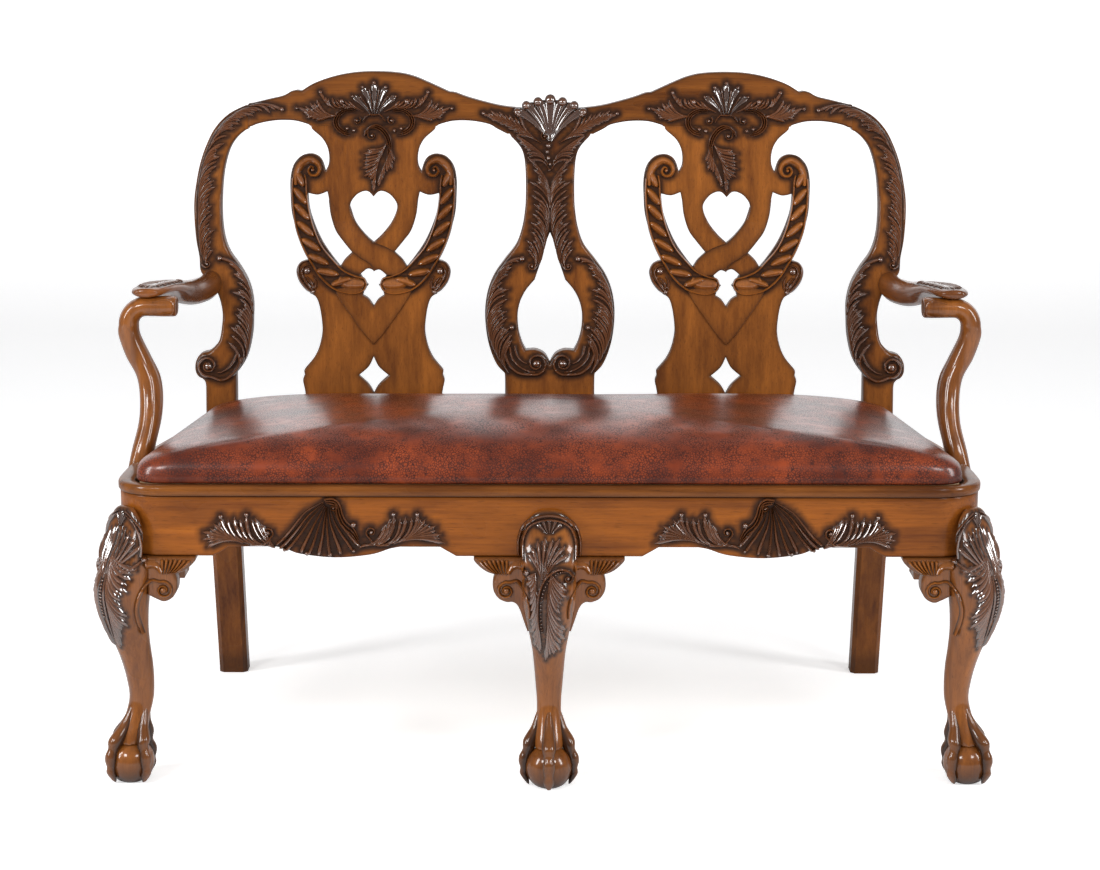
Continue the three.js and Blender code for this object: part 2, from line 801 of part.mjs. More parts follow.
// The stile's outer edge, then its inner edge, up to the crest joint: shares of the post's width out
// from its straight inner face, and of the back's rise.
const stileShares = [
  [[1.001, 0.02], [1.001, 0.123], [1.121, 0.146]],
  [[1.121, 0.146], [1.379, 0.169], [1.27, 0.209], [0.962, 0.223], [0.763, 0.227]],
  [[0.763, 0.227], [0.554, 0.253], [0.465, 0.292], [0.445, 0.332], [0.564, 0.376], [0.952, 0.423]],
  [[0.952, 0.423], [1.16, 0.446], [1.2, 0.486], [1.3, 0.533], [1.359, 0.594], [1.359, 0.645],
    [1.28, 0.696], [1.16, 0.745], [0.962, 0.794], [0.663, 0.843], [0.196, 0.883], [-0.44, 0.909]],
  [[-0.44, 0.909], [-0.44, 0.843]],
  [[-0.44, 0.843], [-0.072, 0.818], [0.196, 0.783], [0.385, 0.722], [0.46, 0.645], [0.445, 0.58],
    [0.355, 0.533], [0.176, 0.496], [-0.142, 0.458], [-0.42, 0.414], [-0.559, 0.365], [-0.559, 0.314],
    [-0.529, 0.269], [-0.41, 0.22], [-0.241, 0.187], [-0.003, 0.16]],
  [[-0.003, 0.16], [-0.003, 0.02]],
];
const stileVoluteShares = [1.001, 0.181];

// An outline whose x is a share of the post's width from the inner face, as places on the left.
function onPost(runs) {
  return outline(runs, -postWidth, backRise).map((p) => new THREE.Vector2(p.x - postInnerX, p.y + railTop));
}

function backPost() {
  const straight = [
    new THREE.Vector2(-postInnerX, rearRailBottom),
    new THREE.Vector2(-postOuterX, rearRailBottom),
  ];
  const edge = [...straight, ...onPost(stileShares).slice(1, -1)];
  const blendTop = rakeStart + postBlend;
  const profile = [
    new THREE.Vector2(seatDepth, rearRailBottom),
    new THREE.Vector2(seatDepth + rearLegThickness, rearRailBottom),
    new THREE.Vector2(seatDepth + postSeatThickness, rakeStart),
    new THREE.Vector2(seatDepth + postThickness + lean(blendTop), blendTop),
    new THREE.Vector2(seatDepth + postThickness + lean(crestTop), crestTop),
    new THREE.Vector2(seatDepth + lean(crestTop), crestTop),
    new THREE.Vector2(seatDepth, rakeStart),
  ];
  const depth = overrun + lean(crestTop) + 2 * rearLegThickness;
  const sawn = board(edge, seatDepth - overrun, depth);
  const stile = sawn.intersect(bar(profile, -halfSeat, 0));
  const [eye] = onPost([[stileVoluteShares]]);
  const scroll = raked(volute(eye.x, eye.y, postVoluteRadius, seatDepth, 0, 1));
  return joined([rearLeg(), stile, scroll]);
}

// Rows down the rear leg: height as a share of the leg, kick back as a share of the foot's setback.
const rearLegRowShares = [
  [1, 0],
  [0.88, 0.09],
  [0.72, 0.25],
  [0.5, 0.48],
  [0.25, 0.74],
  [0, 1],
];

function rearLeg() {
  const rings = rearLegRowShares.map(([rise, kick]) => {
    const chamfer = rise === 1 ? gap : rearLegChamfer;
    const width = THREE.MathUtils.lerp(rearFootWidth, postWidth, rise);
    const thickness = THREE.MathUtils.lerp(rearFootThickness, rearLegThickness, rise);
    const x1 = -postInnerX;
    const x0 = x1 - width;
    const y0 = seatDepth + kick * rearFootSetback;
    const y1 = y0 + thickness;
    const z = rise * rearRailBottom;
    return [
      [x0 + chamfer, y0], [x1 - chamfer, y0], [x1, y0 + chamfer], [x1, y1 - chamfer],
      [x1 - chamfer, y1], [x0 + chamfer, y1], [x0, y1 - chamfer], [x0, y0 + chamfer],
    ].map(([x, y]) => new THREE.Vector3(x, y, z));
  });
  return loft(rings);
}

const post = backPost();
pair("back_post", post, walnut);

// Crest rail in two halves that meet behind the middle shell

// Half of the crest from its joint with the stile to the middle: shares of the joint's distance
// from the middle and of the back's rise.
const crestShares = [
  [[1, 0.909], [0.932, 0.923], [0.887, 0.932], [0.861, 0.944]],
  [[0.861, 0.944], [0.841, 0.948], [0.825, 0.946]],
  [[0.825, 0.946], [0.783, 0.967], [0.718, 0.986], [0.65, 0.997], [0.581, 1], [0.507, 0.997],
    [0.455, 0.988], [0.402, 0.97], [0.334, 0.944]],
  [[0.334, 0.944], [0.314, 0.942], [0.266, 0.928], [0.167, 0.907], [0.08, 0.899], [0, 0.895]],
  [[0, 0.895], [0, 0.829]],
  [[0, 0.829], [0.144, 0.829]],
  [[0.144, 0.829], [0.177, 0.843], [0.203, 0.855], [0.26, 0.864], [0.32, 0.864], [0.364, 0.855],
    [0.375, 0.85]],
  [[0.375, 0.85], [0.7963, 0.85]],
  [[0.7963, 0.85], [0.807, 0.855], [0.851, 0.864], [0.911, 0.864], [0.968, 0.855], [1, 0.843]],
];

function crestHalf() {
  const points = moved(outline(crestShares, -crestJointX, backRise), 0, railTop).slice(0, -1);
  const trimmed = points.map((p) => {
    const x = THREE.MathUtils.clamp(p.x, -crestJointX + gap, -gap / 2);
    return new THREE.Vector2(x, p.y);
  });
  return raked(board(trimmed, seatDepth, crestThickness));
}

pair("crest_rail", crestHalf(), walnut);

// Pierced splats of interlaced straps and rope scrolls

// Left half of the plate's outline from the crest down, in shares of its half width and of the
// back's rise.
const splatShares = [
  [[0, 0.849], [-0.745, 0.849]],
  [[-0.745, 0.849], [-0.7, 0.837], [-0.6, 0.816], [-0.54, 0.792], [-0.518, 0.766], [-0.525, 0.743],
    [-0.56, 0.725]],
  [[-0.56, 0.725], [-0.7, 0.752], [-0.86, 0.739], [-0.93, 0.696], [-0.935, 0.65], [-0.9, 0.606],
    [-0.83, 0.554], [-0.75, 0.514], [-0.67, 0.486]],
  [[-0.67, 0.486], [-0.78, 0.477], [-0.865, 0.461], [-0.9, 0.446], [-0.86, 0.425], [-0.78, 0.4]],
  [[-0.78, 0.4], [-0.75, 0.386], [-0.665, 0.372], [-0.622, 0.339], [-0.603, 0.3], [-0.605, 0.272],
    [-0.64, 0.236], [-0.7, 0.206], [-0.79, 0.18]],
  [[-0.79, 0.18], [-0.815, 0.171], [-0.81, 0.159]],
  [[-0.81, 0.159], [-0.83, 0.143], [-0.81, 0.118], [-0.8, 0.099], [-0.8, 0.062]],
  [[-0.8, 0.062], [0, 0.062]],
];
const windowShares = [
  [[-0.765, 0.664], [-0.65, 0.659], [-0.54, 0.668]],
  [[-0.54, 0.668], [-0.52, 0.645], [-0.497, 0.603], [-0.44, 0.561], [-0.355, 0.533], [-0.245, 0.501]],
  [[-0.245, 0.501], [-0.335, 0.481], [-0.39, 0.461]],
  [[-0.39, 0.461], [-0.475, 0.486], [-0.59, 0.526], [-0.68, 0.571], [-0.745, 0.619], [-0.765, 0.664]],
];
const heartShares = [
  [[0, 0.654], [-0.06, 0.668], [-0.13, 0.668], [-0.215, 0.655], [-0.277, 0.627], [-0.213, 0.585],
    [-0.1, 0.55], [0, 0.528]],
];
const quatrefoilShares = [
  [[0, 0.449], [-0.07, 0.454], [-0.155, 0.439]],
  [[-0.155, 0.439], [-0.11, 0.423], [-0.06, 0.409]],
  [[-0.06, 0.409], [-0.1, 0.397], [-0.125, 0.381]],
  [[-0.125, 0.381], [-0.055, 0.37], [0, 0.351]],
];
const diamondShares = [
  [[0, 0.209], [-0.06, 0.181], [-0.175, 0.157]],
  [[-0.175, 0.157], [-0.06, 0.132], [0, 0.108]],
];
const shieldShares = [
  [[0, 0.397], [-0.12, 0.409], [-0.45, 0.398]],
  [[-0.45, 0.398], [-0.4, 0.37], [-0.25, 0.318], [-0.11, 0.272], [0, 0.243]],
];
const splatFootShare = 0.8;
// The strap that lies over the other where they cross.
const strapShares = [
  [[-0.43, 0.598], [-0.33, 0.552], [-0.19, 0.515], [-0.02, 0.475], [0.1, 0.447], [0.18, 0.433]],
  [[0.18, 0.433], [0.36, 0.458]],
  [[0.36, 0.458], [0.2, 0.496], [0.03, 0.529], [-0.08, 0.554], [-0.2, 0.584], [-0.26, 0.615]],
  [[-0.26, 0.615], [-0.43, 0.598]],
];
// The rope's middle line from its lower cap to its volute, with its half widths.
const ropeShares = [
  [-0.1, 0.411, 0.05], [-0.16, 0.411, 0.09], [-0.25, 0.412, 0.1], [-0.4, 0.426, 0.105],
  [-0.55, 0.46, 0.105], [-0.68, 0.505, 0.105], [-0.76, 0.552, 0.105], [-0.845, 0.598, 0.105],
  [-0.88, 0.647, 0.105], [-0.9, 0.689, 0.1], [-0.915, 0.731, 0.08], [-0.83, 0.76, 0.058],
  [-0.715, 0.762, 0.045], [-0.64, 0.748, 0.038], [-0.635, 0.729, 0.036], [-0.68, 0.717, 0.034],
  [-0.74, 0.724, 0.03],
];
// The eyes of the rope's volute and of the leaf below it: place, then radius.
const splatEyeShares = [
  [-0.72, 0.73, 0.055],
  [-0.79, 0.444, 0.07],
];

function splat() {
  const size = (runs) => moved(outline(runs, splatHalf, backRise), 0, railTop);
  const closed = (points) => points.slice(0, -1);
  const turned = (points) => points.map((p) => new THREE.Vector2(-p.x, p.y)).reverse();
  const opening = (runs) => mirrored(size(runs)).reverse();
  const window = closed(size(windowShares));
  const holes = [
    window,
    turned(window),
    opening(heartShares),
    opening(quatrefoilShares),
    opening(diamondShares),
  ];
  const splatTop = railTop + splatJointShare * backRise;
  const edge = between(size(splatShares), shoeTop + gap, splatTop - gap);
  const front = seatDepth;
  const plate = board(mirrored(edge), front, splatThickness, holes);
  const shield = board(mirrored(size(shieldShares)), front - shieldRelief, splatThickness);
  const strap = board(closed(size(strapShares)), front - strapRelief, splatThickness);
  const parts = [plate, shield, strap];
  for (const hand of [1, -1]) {
    const place = (x, z) => new THREE.Vector2(hand * x * splatHalf, railTop + z * backRise);
    const knots = ropeShares.map(([x, z]) => place(x, z));
    const widths = ropeShares.map(([, , half]) => half * splatHalf);
    parts.push(ridge(knots, widths, front + splatThickness / 2 - ropeDepth / 3, ropeDepth, 26, 6));
    for (const [x, z, radius] of splatEyeShares) {
      const knob = new THREE.SphereGeometry(radius * splatHalf, 6, 4);
      const at = place(x, z);
      parts.push(solid(knob.translate(at.x, front, at.y)));
    }
  }
  return raked(joined(parts));
}

// The shoe's cove: how far its upper and lower edge lie below the top.
const shoeCoveShares = [0.3, 0.5];

function shoe() {
  const half = splatFootShare * splatHalf + shoeOverhang;
  const front = seatDepth + rearRailSetback - gap;
  const bottom = railTop + gap;
  const back = front + shoeThickness;
  const splatFace = seatDepth + lean(shoeTop) - gap;
  const profile = [
    new THREE.Vector2(front, bottom),
    new THREE.Vector2(back, bottom),
    new THREE.Vector2(back, shoeTop),
    new THREE.Vector2(splatFace, shoeTop),
    new THREE.Vector2(splatFace, shoeTop - shoeHeight * shoeCoveShares[0]),
    new THREE.Vector2(front, shoeTop - shoeHeight * shoeCoveShares[1]),
  ];
  return bar(profile, -half, half);
}

pair("splat", splat().translate([-chairX, 0, 0]), walnut);
pair("splat_shoe", shoe().translate([-chairX, 0, 0]), walnut);

// Middle post of lyre form, shared by the two chair backs

const lyreShares = [
  [[0, 0.829], [-0.645, 0.829]],
  [[-0.645, 0.829], [-0.47, 0.795], [-0.4, 0.764], [-0.375, 0.711], [-0.375, 0.65], [-0.39, 0.612],
    [-0.43, 0.568], [-0.52, 0.522], [-0.7, 0.479], [-0.86, 0.437], [-0.96, 0.391], [-1, 0.339],
    [-0.98, 0.279], [-0.92, 0.23], [-0.82, 0.188], [-0.7, 0.164]],
  [[-0.7, 0.164], [-0.69, 0.141], [-0.69, 0.001]],
  [[-0.69, 0.001], [0, 0.001]],
];
const teardropShares = [
  [[0, 0.556], [-0.075, 0.521], [-0.15, 0.47], [-0.24, 0.421], [-0.4, 0.39], [-0.495, 0.341],
    [-0.49, 0.292], [-0.42, 0.244], [-0.35, 0.225]],
  [[-0.35, 0.225], [-0.215, 0.225], [-0.08, 0.216], [0, 0.192]],
];
const lyreEyeShares = [-0.243, 0.193];

function lyre() {
  const size = (runs) => moved(outline(runs, lyreHalf, backRise), 0, railTop);
  const lyreTop = railTop + lyreJointShare * backRise;
  const edge = between(size(lyreShares), railTop + gap, lyreTop - gap);
  const plate = board(mirrored(edge), seatDepth, postThickness, [mirrored(size(teardropShares)).reverse()]);
  const parts = [plate];
  for (const hand of [1, -1]) {
    const [x, z] = lyreEyeShares;
    const start = hand > 0 ? 0.6 : 0.9;
    const eyeZ = railTop + z * backRise;
    parts.push(volute(hand * x * lyreHalf, eyeZ, lyreVoluteRadius, seatDepth, start, -hand));
  }
  const leaned = raked(joined(parts));
  const railBack = box(
    -lyreHalf,
    lyreHalf,
    seatDepth - 2 * overrun,
    rearRailY + gap - rearRailSetback,
    railTop - overrun,
    railTop + 2 * gap,
  );
  return leaned.subtract(railBack);
}

piece("middle_post", lyre(), walnut);

// Arms: a tube from the post that widens to a flat carved hand rest

// Shares along the arm from the post: forward, outward, up, then the width, how far the section has
// thinned from the tube to the paddle, and its squareness.
const armRowShares = [
  [0, 0, 0, 0.95, 0, 2],
  [0.15, 0.08, -0.1, 0.95, 0.06, 2],
  [0.35, 0.3, 0, 1, 0.16, 2.1],
  [0.5, 0.5, 0.3, 1.2, 0.4, 2.3],
  [0.62, 0.66, 0.62, 1.4, 0.67, 2.6],
  [0.75, 0.8, 0.9, 1.5, 0.89, 3],
  [0.88, 0.92, 1, 1.5, 1, 3],
  [0.96, 0.98, 1, 1.3, 1, 2.6],
  [1, 1, 1, 0.95, 1, 2.4],
];
const supportFootX = sideX(supportFootY, 0);

function arm() {
  const across = new THREE.Vector3(1, 0, 0);
  const up = new THREE.Vector3(0, 0, 1);
  const start = new THREE.Vector2(postOuterX - armSunk, seatDepth + lean(armHeight));
  const end = new THREE.Vector2(supportFootX - paddleInset, supportFootY + paddleSetback);
  const rings = armRowShares.map(([forward, outward, rise, wide, thinned, power]) => {
    const centre = new THREE.Vector3(
      -THREE.MathUtils.lerp(start.x, end.x, outward),
      THREE.MathUtils.lerp(start.y, end.y, forward),
      armHeight + rise * armRise,
    );
    const high = THREE.MathUtils.lerp(armTubeSize, paddleThickness, thinned);
    return ring(centre, across, up, (wide * armTubeSize) / 2, high / 2, 12, power);
  });
  return loft(rings);
}

// Arm supports: a serpentine upright lapped to the side rail, with a crook under the hand rest

// Shares up the support from the rail: height, outward and back as shares of its rise, width and
// depth, then half width, half depth and squareness.
const supportRowShares = [
  [0, 0, 0, 0.48, 0.5, 3.4],
  [0.14, -0.18, 0.04, 0.48, 0.45, 3],
  [0.325, -0.43, 0.25, 0.48, 0.42, 2.6],
  [0.49, -0.44, 0.44, 0.5, 0.4, 2.4],
  [0.63, -0.29, 0.5, 0.51, 0.35, 2.3],
  [0.765, 0.12, 0.5, 0.55, 0.3, 2.2],
  [0.92, 0.47, 0.44, 0.49, 0.27, 2.2],
  [1, 0.47, 0.39, 0.45, 0.26, 2.2],
];
const crookHalfShare = 0.45;
const crookSteps = 4;
const supportLapShare = 0.36;
// The crook's rounded end: how far along, then its size.
const crookEndShares = [
  [0.55, 1],
  [0.9, 0.92],
  [1, 0.55],
];

function support() {
  const inward = new THREE.Vector3(1, 0, 0);
  const back = new THREE.Vector3(0, 1, 0);
  const crookHalf = crookHalfShare * supportWidth;
  const underPaddle = armHeight + armRise - paddleThickness / 2 - gap;
  const footZ = railTop + gap;
  const rise = underPaddle - crookHalf - crookRadius - footZ;
  const place = (up, outward, backward) =>
    new THREE.Vector3(
      -supportFootX - outward * supportWidth,
      supportFootY + backward * supportDepth,
      footZ + up * rise,
    );
  const rings = supportRowShares.map(([up, outward, backward, wide, deep, power]) =>
    ring(place(up, outward, backward), inward, back, wide * supportWidth, deep * supportDepth, 12, power),
  );
  const [up, outward, backward, , deep, power] = supportRowShares[supportRowShares.length - 1];
  const start = place(up, outward, backward);
  const halfDepth = deep * supportDepth;
  for (let i = 1; i <= crookSteps; i++) {
    const turn = (Math.PI / 2) * (i / crookSteps);
    const radial = new THREE.Vector3(-Math.cos(turn), 0, Math.sin(turn));
    const centre = start.clone().addScaledVector(inward, crookRadius).addScaledVector(radial, crookRadius);
    rings.push(ring(centre, radial.negate(), back, crookHalf, halfDepth, 12, power));
  }
  const down = new THREE.Vector3(0, 0, -1);
  const top = new THREE.Vector3(start.x + crookRadius, start.y, start.z + crookRadius);
  for (const [along, share] of crookEndShares) {
    const centre = top.clone().addScaledVector(inward, along * crookLength);
    rings.push(ring(centre, down, back, crookHalf * share, halfDepth * share, 12, power));
  }
  const outer = supportFootX + supportRowShares[0][3] * supportWidth;
  const lapHalf = supportDepth * supportLapShare;
  const lap = [
    ...sidePath(supportFootY - lapHalf, supportFootY + lapHalf, -gap, 4),
    new THREE.Vector2(-outer, supportFootY + lapHalf),
    new THREE.Vector2(-outer, supportFootY - lapHalf),
  ];
  const cheek = slab(lap, railTop - supportLap, supportLap + 4 * gap);
  return joined([loft(rings), cheek]);
}

// A solid cut back from its neighbour by the clearance.
function cleared(made, neighbour) {
  const shifts = [
    [0, 0, 0], [-gap, 0, 0], [gap, 0, 0],
    [0, -gap, 0], [0, gap, 0], [0, 0, gap], [0, 0, -gap],
  ];
  return shifts.reduce((left, shift) => left.subtract(neighbour.translate(shift)), made);
}

pair("arm_support", support(), walnut);
pair("arm", cleared(arm(), post), walnut);

// Carvings on the crest, the middle and the front rail

// Each carving's place as a share of the back's rise, or of half the seat's width along the rail.
const crestCarvingShare = 0.872;
const crestShellShare = 0.812;
const railCarvingShare = 0.503;
const crestCarvingZ = railTop + crestCarvingShare * backRise;
const crestShellZ = railTop + crestShellShare * backRise;
const railCarvingX = railCarvingShare * halfSeat;
const railCarvingZ = railTop - railCarvingDrop;

// Lobes as from, via, to and half width, in shares of the carving's half width.
const crestLobeShares = [
  [[0, 0], [0, 0.25], [0, 0.49], 0.07],
  [[0.02, 0], [0.07, 0.25], [0.14, 0.45], 0.06],
  [[0.06, 0.02], [0.18, 0.2], [0.34, 0.35], 0.06],
  [[0.1, 0], [0.36, 0.02], [0.67, 0.31], 0.075],
  [[0.2, 0], [0.5, -0.06], [0.99, 0.14], 0.075],
  [[0.2, -0.04], [0.5, -0.14], [0.87, -0.01], 0.065],
  [[0.1, -0.06], [0.35, -0.2], [0.6, -0.08], 0.06],
  [[0.05, -0.05], [0.3, -0.12], [0.24, -0.28], 0.05],
  [[0, -0.05], [0, -0.5], [0, -0.97], 0.07],
  [[0, -0.2], [0.12, -0.4], [0.2, -0.66], 0.055],
];
const shellLobeShares = [
  [[0, 0], [0, 0.6], [0, 1.14], 0.13],
  [[0.03, 0], [0.16, 0.55], [0.34, 1.1], 0.12],
  [[0.06, 0.02], [0.32, 0.5], [0.66, 0.96], 0.12],
  [[0.09, 0.04], [0.5, 0.36], [0.96, 0.7], 0.12],
  [[0.4, 0.3], [1, 0.72], [1.6, 0.84], 0.11],
  [[0.3, 0.2], [0.9, 0.5], [1.3, 0.62], 0.1],
  [[0, 0.1], [0, -0.35], [0, -0.8], 0.13],
  [[0, 0.1], [0.22, -0.2], [0.2, -0.55], 0.1],
];
const railLobeShares = [
  [[0, 0], [0, -0.2], [0, -0.41], 0.05],
  [[0.01, 0], [0.06, -0.22], [0.12, -0.39], 0.045],
  [[0.03, 0], [0.16, -0.16], [0.27, -0.3], 0.05],
  [[0.04, 0.03], [0.16, 0], [0.36, -0.2], 0.045],
  [[0.25, -0.22], [0.5, -0.34], [0.62, -0.1], 0.055],
  [[0.35, -0.24], [0.66, -0.3], [0.74, -0.06], 0.05],
  [[0.45, -0.24], [0.8, -0.26], [0.92, -0.08], 0.05],
  [[0.5, -0.24], [0.8, -0.36], [0.98, -0.3], 0.05],
];

// The ground behind each carving: half width, half height and how far it lies from the carving's
// place, in shares of the carving's half width.
const crestGroundShares = [0.4, 0.16, 0];
const shellGroundShares = [0.6, 0.5, 0.4];
const railGroundShares = [0.6, 0.09, -0.24];

function disc(radiusX, radiusZ, x, z, y, thickness) {
  const points = [];
  const count = 12;
  for (let i = 0; i < count; i++) {
    const turn = (2 * Math.PI * i) / count;
    points.push(new THREE.Vector2(x + radiusX * Math.cos(turn), z + radiusZ * Math.sin(turn)));
  }
  return board(points, y - thickness, thickness);
}

// Lobes on their ground, on the face at y.
function relief(lobeShares, [wide, high, up], size, x, z, y) {
  const ground = disc(size * wide, size * high, x, z + size * up, y, carvingGround);
  return joined([ground, ...carving(lobeShares, size, x, z, y, carvingRelief)]);
}

function crestCarving() {
  const face = seatDepth - gap;
  const flat = relief(crestLobeShares, crestGroundShares, crestCarvingHalf, 0, crestCarvingZ, face);
  return raked(flat).translate([-chairX, 0, 0]);
}

function crestShell() {
  return raked(relief(shellLobeShares, shellGroundShares, crestShellHalf, 0, crestShellZ, seatDepth - gap));
}

function railCarving() {
  return relief(railLobeShares, railGroundShares, railCarvingHalf, -railCarvingX, railCarvingZ, -gap);
}

pair("crest_carving", crestCarving(), darkWalnut);
piece("crest_shell", crestShell(), darkWalnut);
pair("rail_carving", railCarving(), darkWalnut);

// Blocks and brace inside the frame

function frontCornerBlock() {
  const z = stileTop - cornerBlockThickness;
  const clear = 2 * gap;
  const inner = railThickness + clear;
  const stileX = -cornerX + stileSize / 2 + clear;
  const stileY = cornerRadius + stileSize / 2 + clear;
  const sideEnd = stileY + cornerBlockReach;
  const points = [
    new THREE.Vector2(stileX, inner),
    new THREE.Vector2(stileX + cornerBlockReach, inner),
    new THREE.Vector2(-sideX(sideEnd, inner), sideEnd),
    new THREE.Vector2(-sideX(stileY, inner), stileY),
    new THREE.Vector2(stileX, stileY),
  ];
  return slab(points, z, cornerBlockThickness);
}

function rearCornerBlock() {
  const z = stileTop - cornerBlockThickness;
  const clear = 2 * gap;
  const rear = rearRailY - clear;
  const sideStart = rear - cornerBlockReach;
  const beside = sideX(seatDepth - clear, railThickness + clear);
  const postSide = Math.min(postInnerX - clear, beside);
  const points = [
    new THREE.Vector2(-postInnerX + cornerBlockReach, rear),
    new THREE.Vector2(-postSide, rear),
    new THREE.Vector2(-postSide, seatDepth - clear),
    new THREE.Vector2(-beside, seatDepth - clear),
    new THREE.Vector2(-sideX(sideStart, railThickness + clear), sideStart),
  ];
  return slab(points, z, cornerBlockThickness);
}

pair("corner_block_front", frontCornerBlock(), beech);
pair("corner_block_rear", rearCornerBlock(), beech);

function seatBrace() {
  const from = railThickness + stileSize + 2 * gap;
  const to = rearRailY - gap;
  return box(-braceWidth / 2, braceWidth / 2, from, to, stileTop - braceHeight, stileTop);
}

piece("seat_brace", seatBrace(), beech);

// Drop-in seat: frame, webbing and stuffed leather pad

function seatFrameEnd(frontY, rearY) {
  const left = (y) => -(padSideX(y) - frameInset);
  const points = [
    new THREE.Vector2(-left(frontY), frontY),
    new THREE.Vector2(left(frontY), frontY),
    new THREE.Vector2(left(rearY), rearY),
    new THREE.Vector2(-left(rearY), rearY),
  ];
  return slab(points, rebateTop, seatFrameThickness);
}

// The front bar's two outer corners are rounded to the seat's outline.
function seatFrameFront() {
  const path = padHalf(frameInset).getPoints(6).filter((p) => p.y < padFrontY + seatFrameWidth);
  const rear = padFrontY + frameInset + seatFrameWidth;
  path.push(new THREE.Vector2(-(padSideX(rear) - frameInset), rear));
  return slab(bothSides(path).reverse(), rebateTop, seatFrameThickness);
}

function seatFrameSide() {
  const from = padFrontY + frameInset + seatFrameWidth + gap;
  const to = padRearY - frameInset - seatFrameWidth - gap;
  const left = (y) => -(padSideX(y) - frameInset);
  const points = [
    new THREE.Vector2(left(from), from),
    new THREE.Vector2(left(to), to),
    new THREE.Vector2(left(to) + seatFrameWidth, to),
    new THREE.Vector2(left(from) + seatFrameWidth, from),
  ];
  return slab(points, rebateTop, seatFrameThickness);
}

piece("seat_frame_front", seatFrameFront(), beech);
piece(
  "seat_frame_rear",
  seatFrameEnd(padRearY - frameInset - seatFrameWidth, padRearY - frameInset),
  beech,
);
pair("seat_frame_side", seatFrameSide(), beech);

function seatFrameMiddle() {
  const half = seatFrameWidth / 2;
  const from = padFrontY + frameInset + seatFrameWidth + gap;
  const to = padRearY - frameInset - seatFrameWidth - gap;
  return box(-half, half, from, to, rebateTop, rebateTop + seatFrameThickness);
}

piece("seat_frame_middle", seatFrameMiddle(), beech);

function padRing(z, inset, sideInset = inset) {
  const half = padHalf(inset, sideInset).getPoints(7);
  return bothSides(half).slice(0, -1).map((p) => new THREE.Vector3(p.x, p.y, z));
}

function seatWebbing() {
  const points = padRing(0, padLip + gap).map((p) => new THREE.Vector2(p.x, p.y));
  return slab(points, padBottom, webbingThickness);
}

piece("seat_webbing", seatWebbing(), jute);

// The pad's section from its lower lip over the crown: inset at the front and back, inset at the
// sides and rise, as shares of the half depth and of the crown.
const padSectionShares = [
  [0.008, 0.008, 0],
  [0, 0, 0.1],
  [0.003, 0.003, 0.19],
  [0.02, 0.025, 0.35],
  [0.06, 0.12, 0.51],
  [0.13, 0.34, 0.65],
  [0.24, 0.7, 0.78],
  [0.4, 1.15, 0.89],
  [0.6, 1.6, 0.965],
  [0.82, 2, 1],
];

function seatPad() {
  const halfDepth = (padRearY - padFrontY) / 2;
  const inner = padBottom + webbingThickness + gap;
  const section = padSectionShares.map(([inset, sideInset, rise]) =>
    padRing(padBottom + rise * padCrown, inset * halfDepth, sideInset * halfDepth),
  );
  const rings = [padRing(inner, padLip), padRing(padBottom, padLip), ...section];
  return loft(rings);
}

piece("seat_pad", seatPad(), leather);

// The finished settee stands on z 0 with the middle of its outer box over the origin.
const bounds = new THREE.Box3().setFromObject(settee);
const middle = bounds.getCenter(new THREE.Vector3());
settee.position.set(-middle.x, -middle.y, -bounds.min.z);

export default settee;
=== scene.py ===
# %% [markdown]
# # A walnut double chair-back settee
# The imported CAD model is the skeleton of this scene. It is loaded first and stays where it is. The
# pieces made below are drawn in its frame, and fit the boxes of its nodes. Each rides on one of its two
# bodies: `frame`, the wooden settee, or `seat`, which lifts out of it.

import json
import math

import bmesh
import bpy
from mathutils import Matrix, Vector, kdtree, noise
from mathutils.bvhtree import BVHTree


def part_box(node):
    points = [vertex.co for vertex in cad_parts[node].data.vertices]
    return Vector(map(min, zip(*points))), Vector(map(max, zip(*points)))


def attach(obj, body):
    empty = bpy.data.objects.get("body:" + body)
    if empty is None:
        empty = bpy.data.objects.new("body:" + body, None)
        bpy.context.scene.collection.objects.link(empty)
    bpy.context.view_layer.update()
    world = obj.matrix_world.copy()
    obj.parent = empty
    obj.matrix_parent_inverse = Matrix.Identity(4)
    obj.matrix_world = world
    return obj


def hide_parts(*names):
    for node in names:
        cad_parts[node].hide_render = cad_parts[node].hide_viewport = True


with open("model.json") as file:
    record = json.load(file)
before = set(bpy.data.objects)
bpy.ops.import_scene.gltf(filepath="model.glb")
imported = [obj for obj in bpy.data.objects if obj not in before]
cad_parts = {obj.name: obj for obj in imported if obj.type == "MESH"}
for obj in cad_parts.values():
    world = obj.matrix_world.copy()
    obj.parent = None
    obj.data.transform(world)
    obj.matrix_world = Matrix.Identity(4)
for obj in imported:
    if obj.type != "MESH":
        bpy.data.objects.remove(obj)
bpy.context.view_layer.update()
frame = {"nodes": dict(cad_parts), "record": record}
nodes = frame["nodes"]

# %% [markdown]
# ## Places in millimetres
# A joiner measures in millimetres, from the face of the front rail and from the floor. Blender wants
# metres, so one helper turns such a place into a Blender point. The face of the back leans, so a
# second helper says how far back that face lies at a height.

# %% Places
MM = 0.001
RAIL_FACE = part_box("rail_front")[0].y
SEAT_DEPTH = 485.0
RAKE = 0.15
RAKE_START = 445.0
RAIL_TOP = 439.0
BACK_RISE = 586.0
JOINT_GAP = 0.3
FAR_AWAY = 150


def place(x, y, z):
    """Millimetres from the middle, the front rail's face and the floor, as a point in metres."""
    return Vector((x * MM, RAIL_FACE + y * MM, z * MM))


def back_face(z):
    """How far behind the rail's face the front of the back lies at height z, in millimetres."""
    return SEAT_DEPTH + RAKE * (z - RAKE_START)


def middle_x(node):
    """The middle of a CAD node's width, in millimetres."""
    low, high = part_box(node)
    return (low.x + high.x) / 2 / MM


CHAIR_X = middle_x("splat_right")
print("the splats' middles lie at", round(CHAIR_X, 1), "mm on both sides")

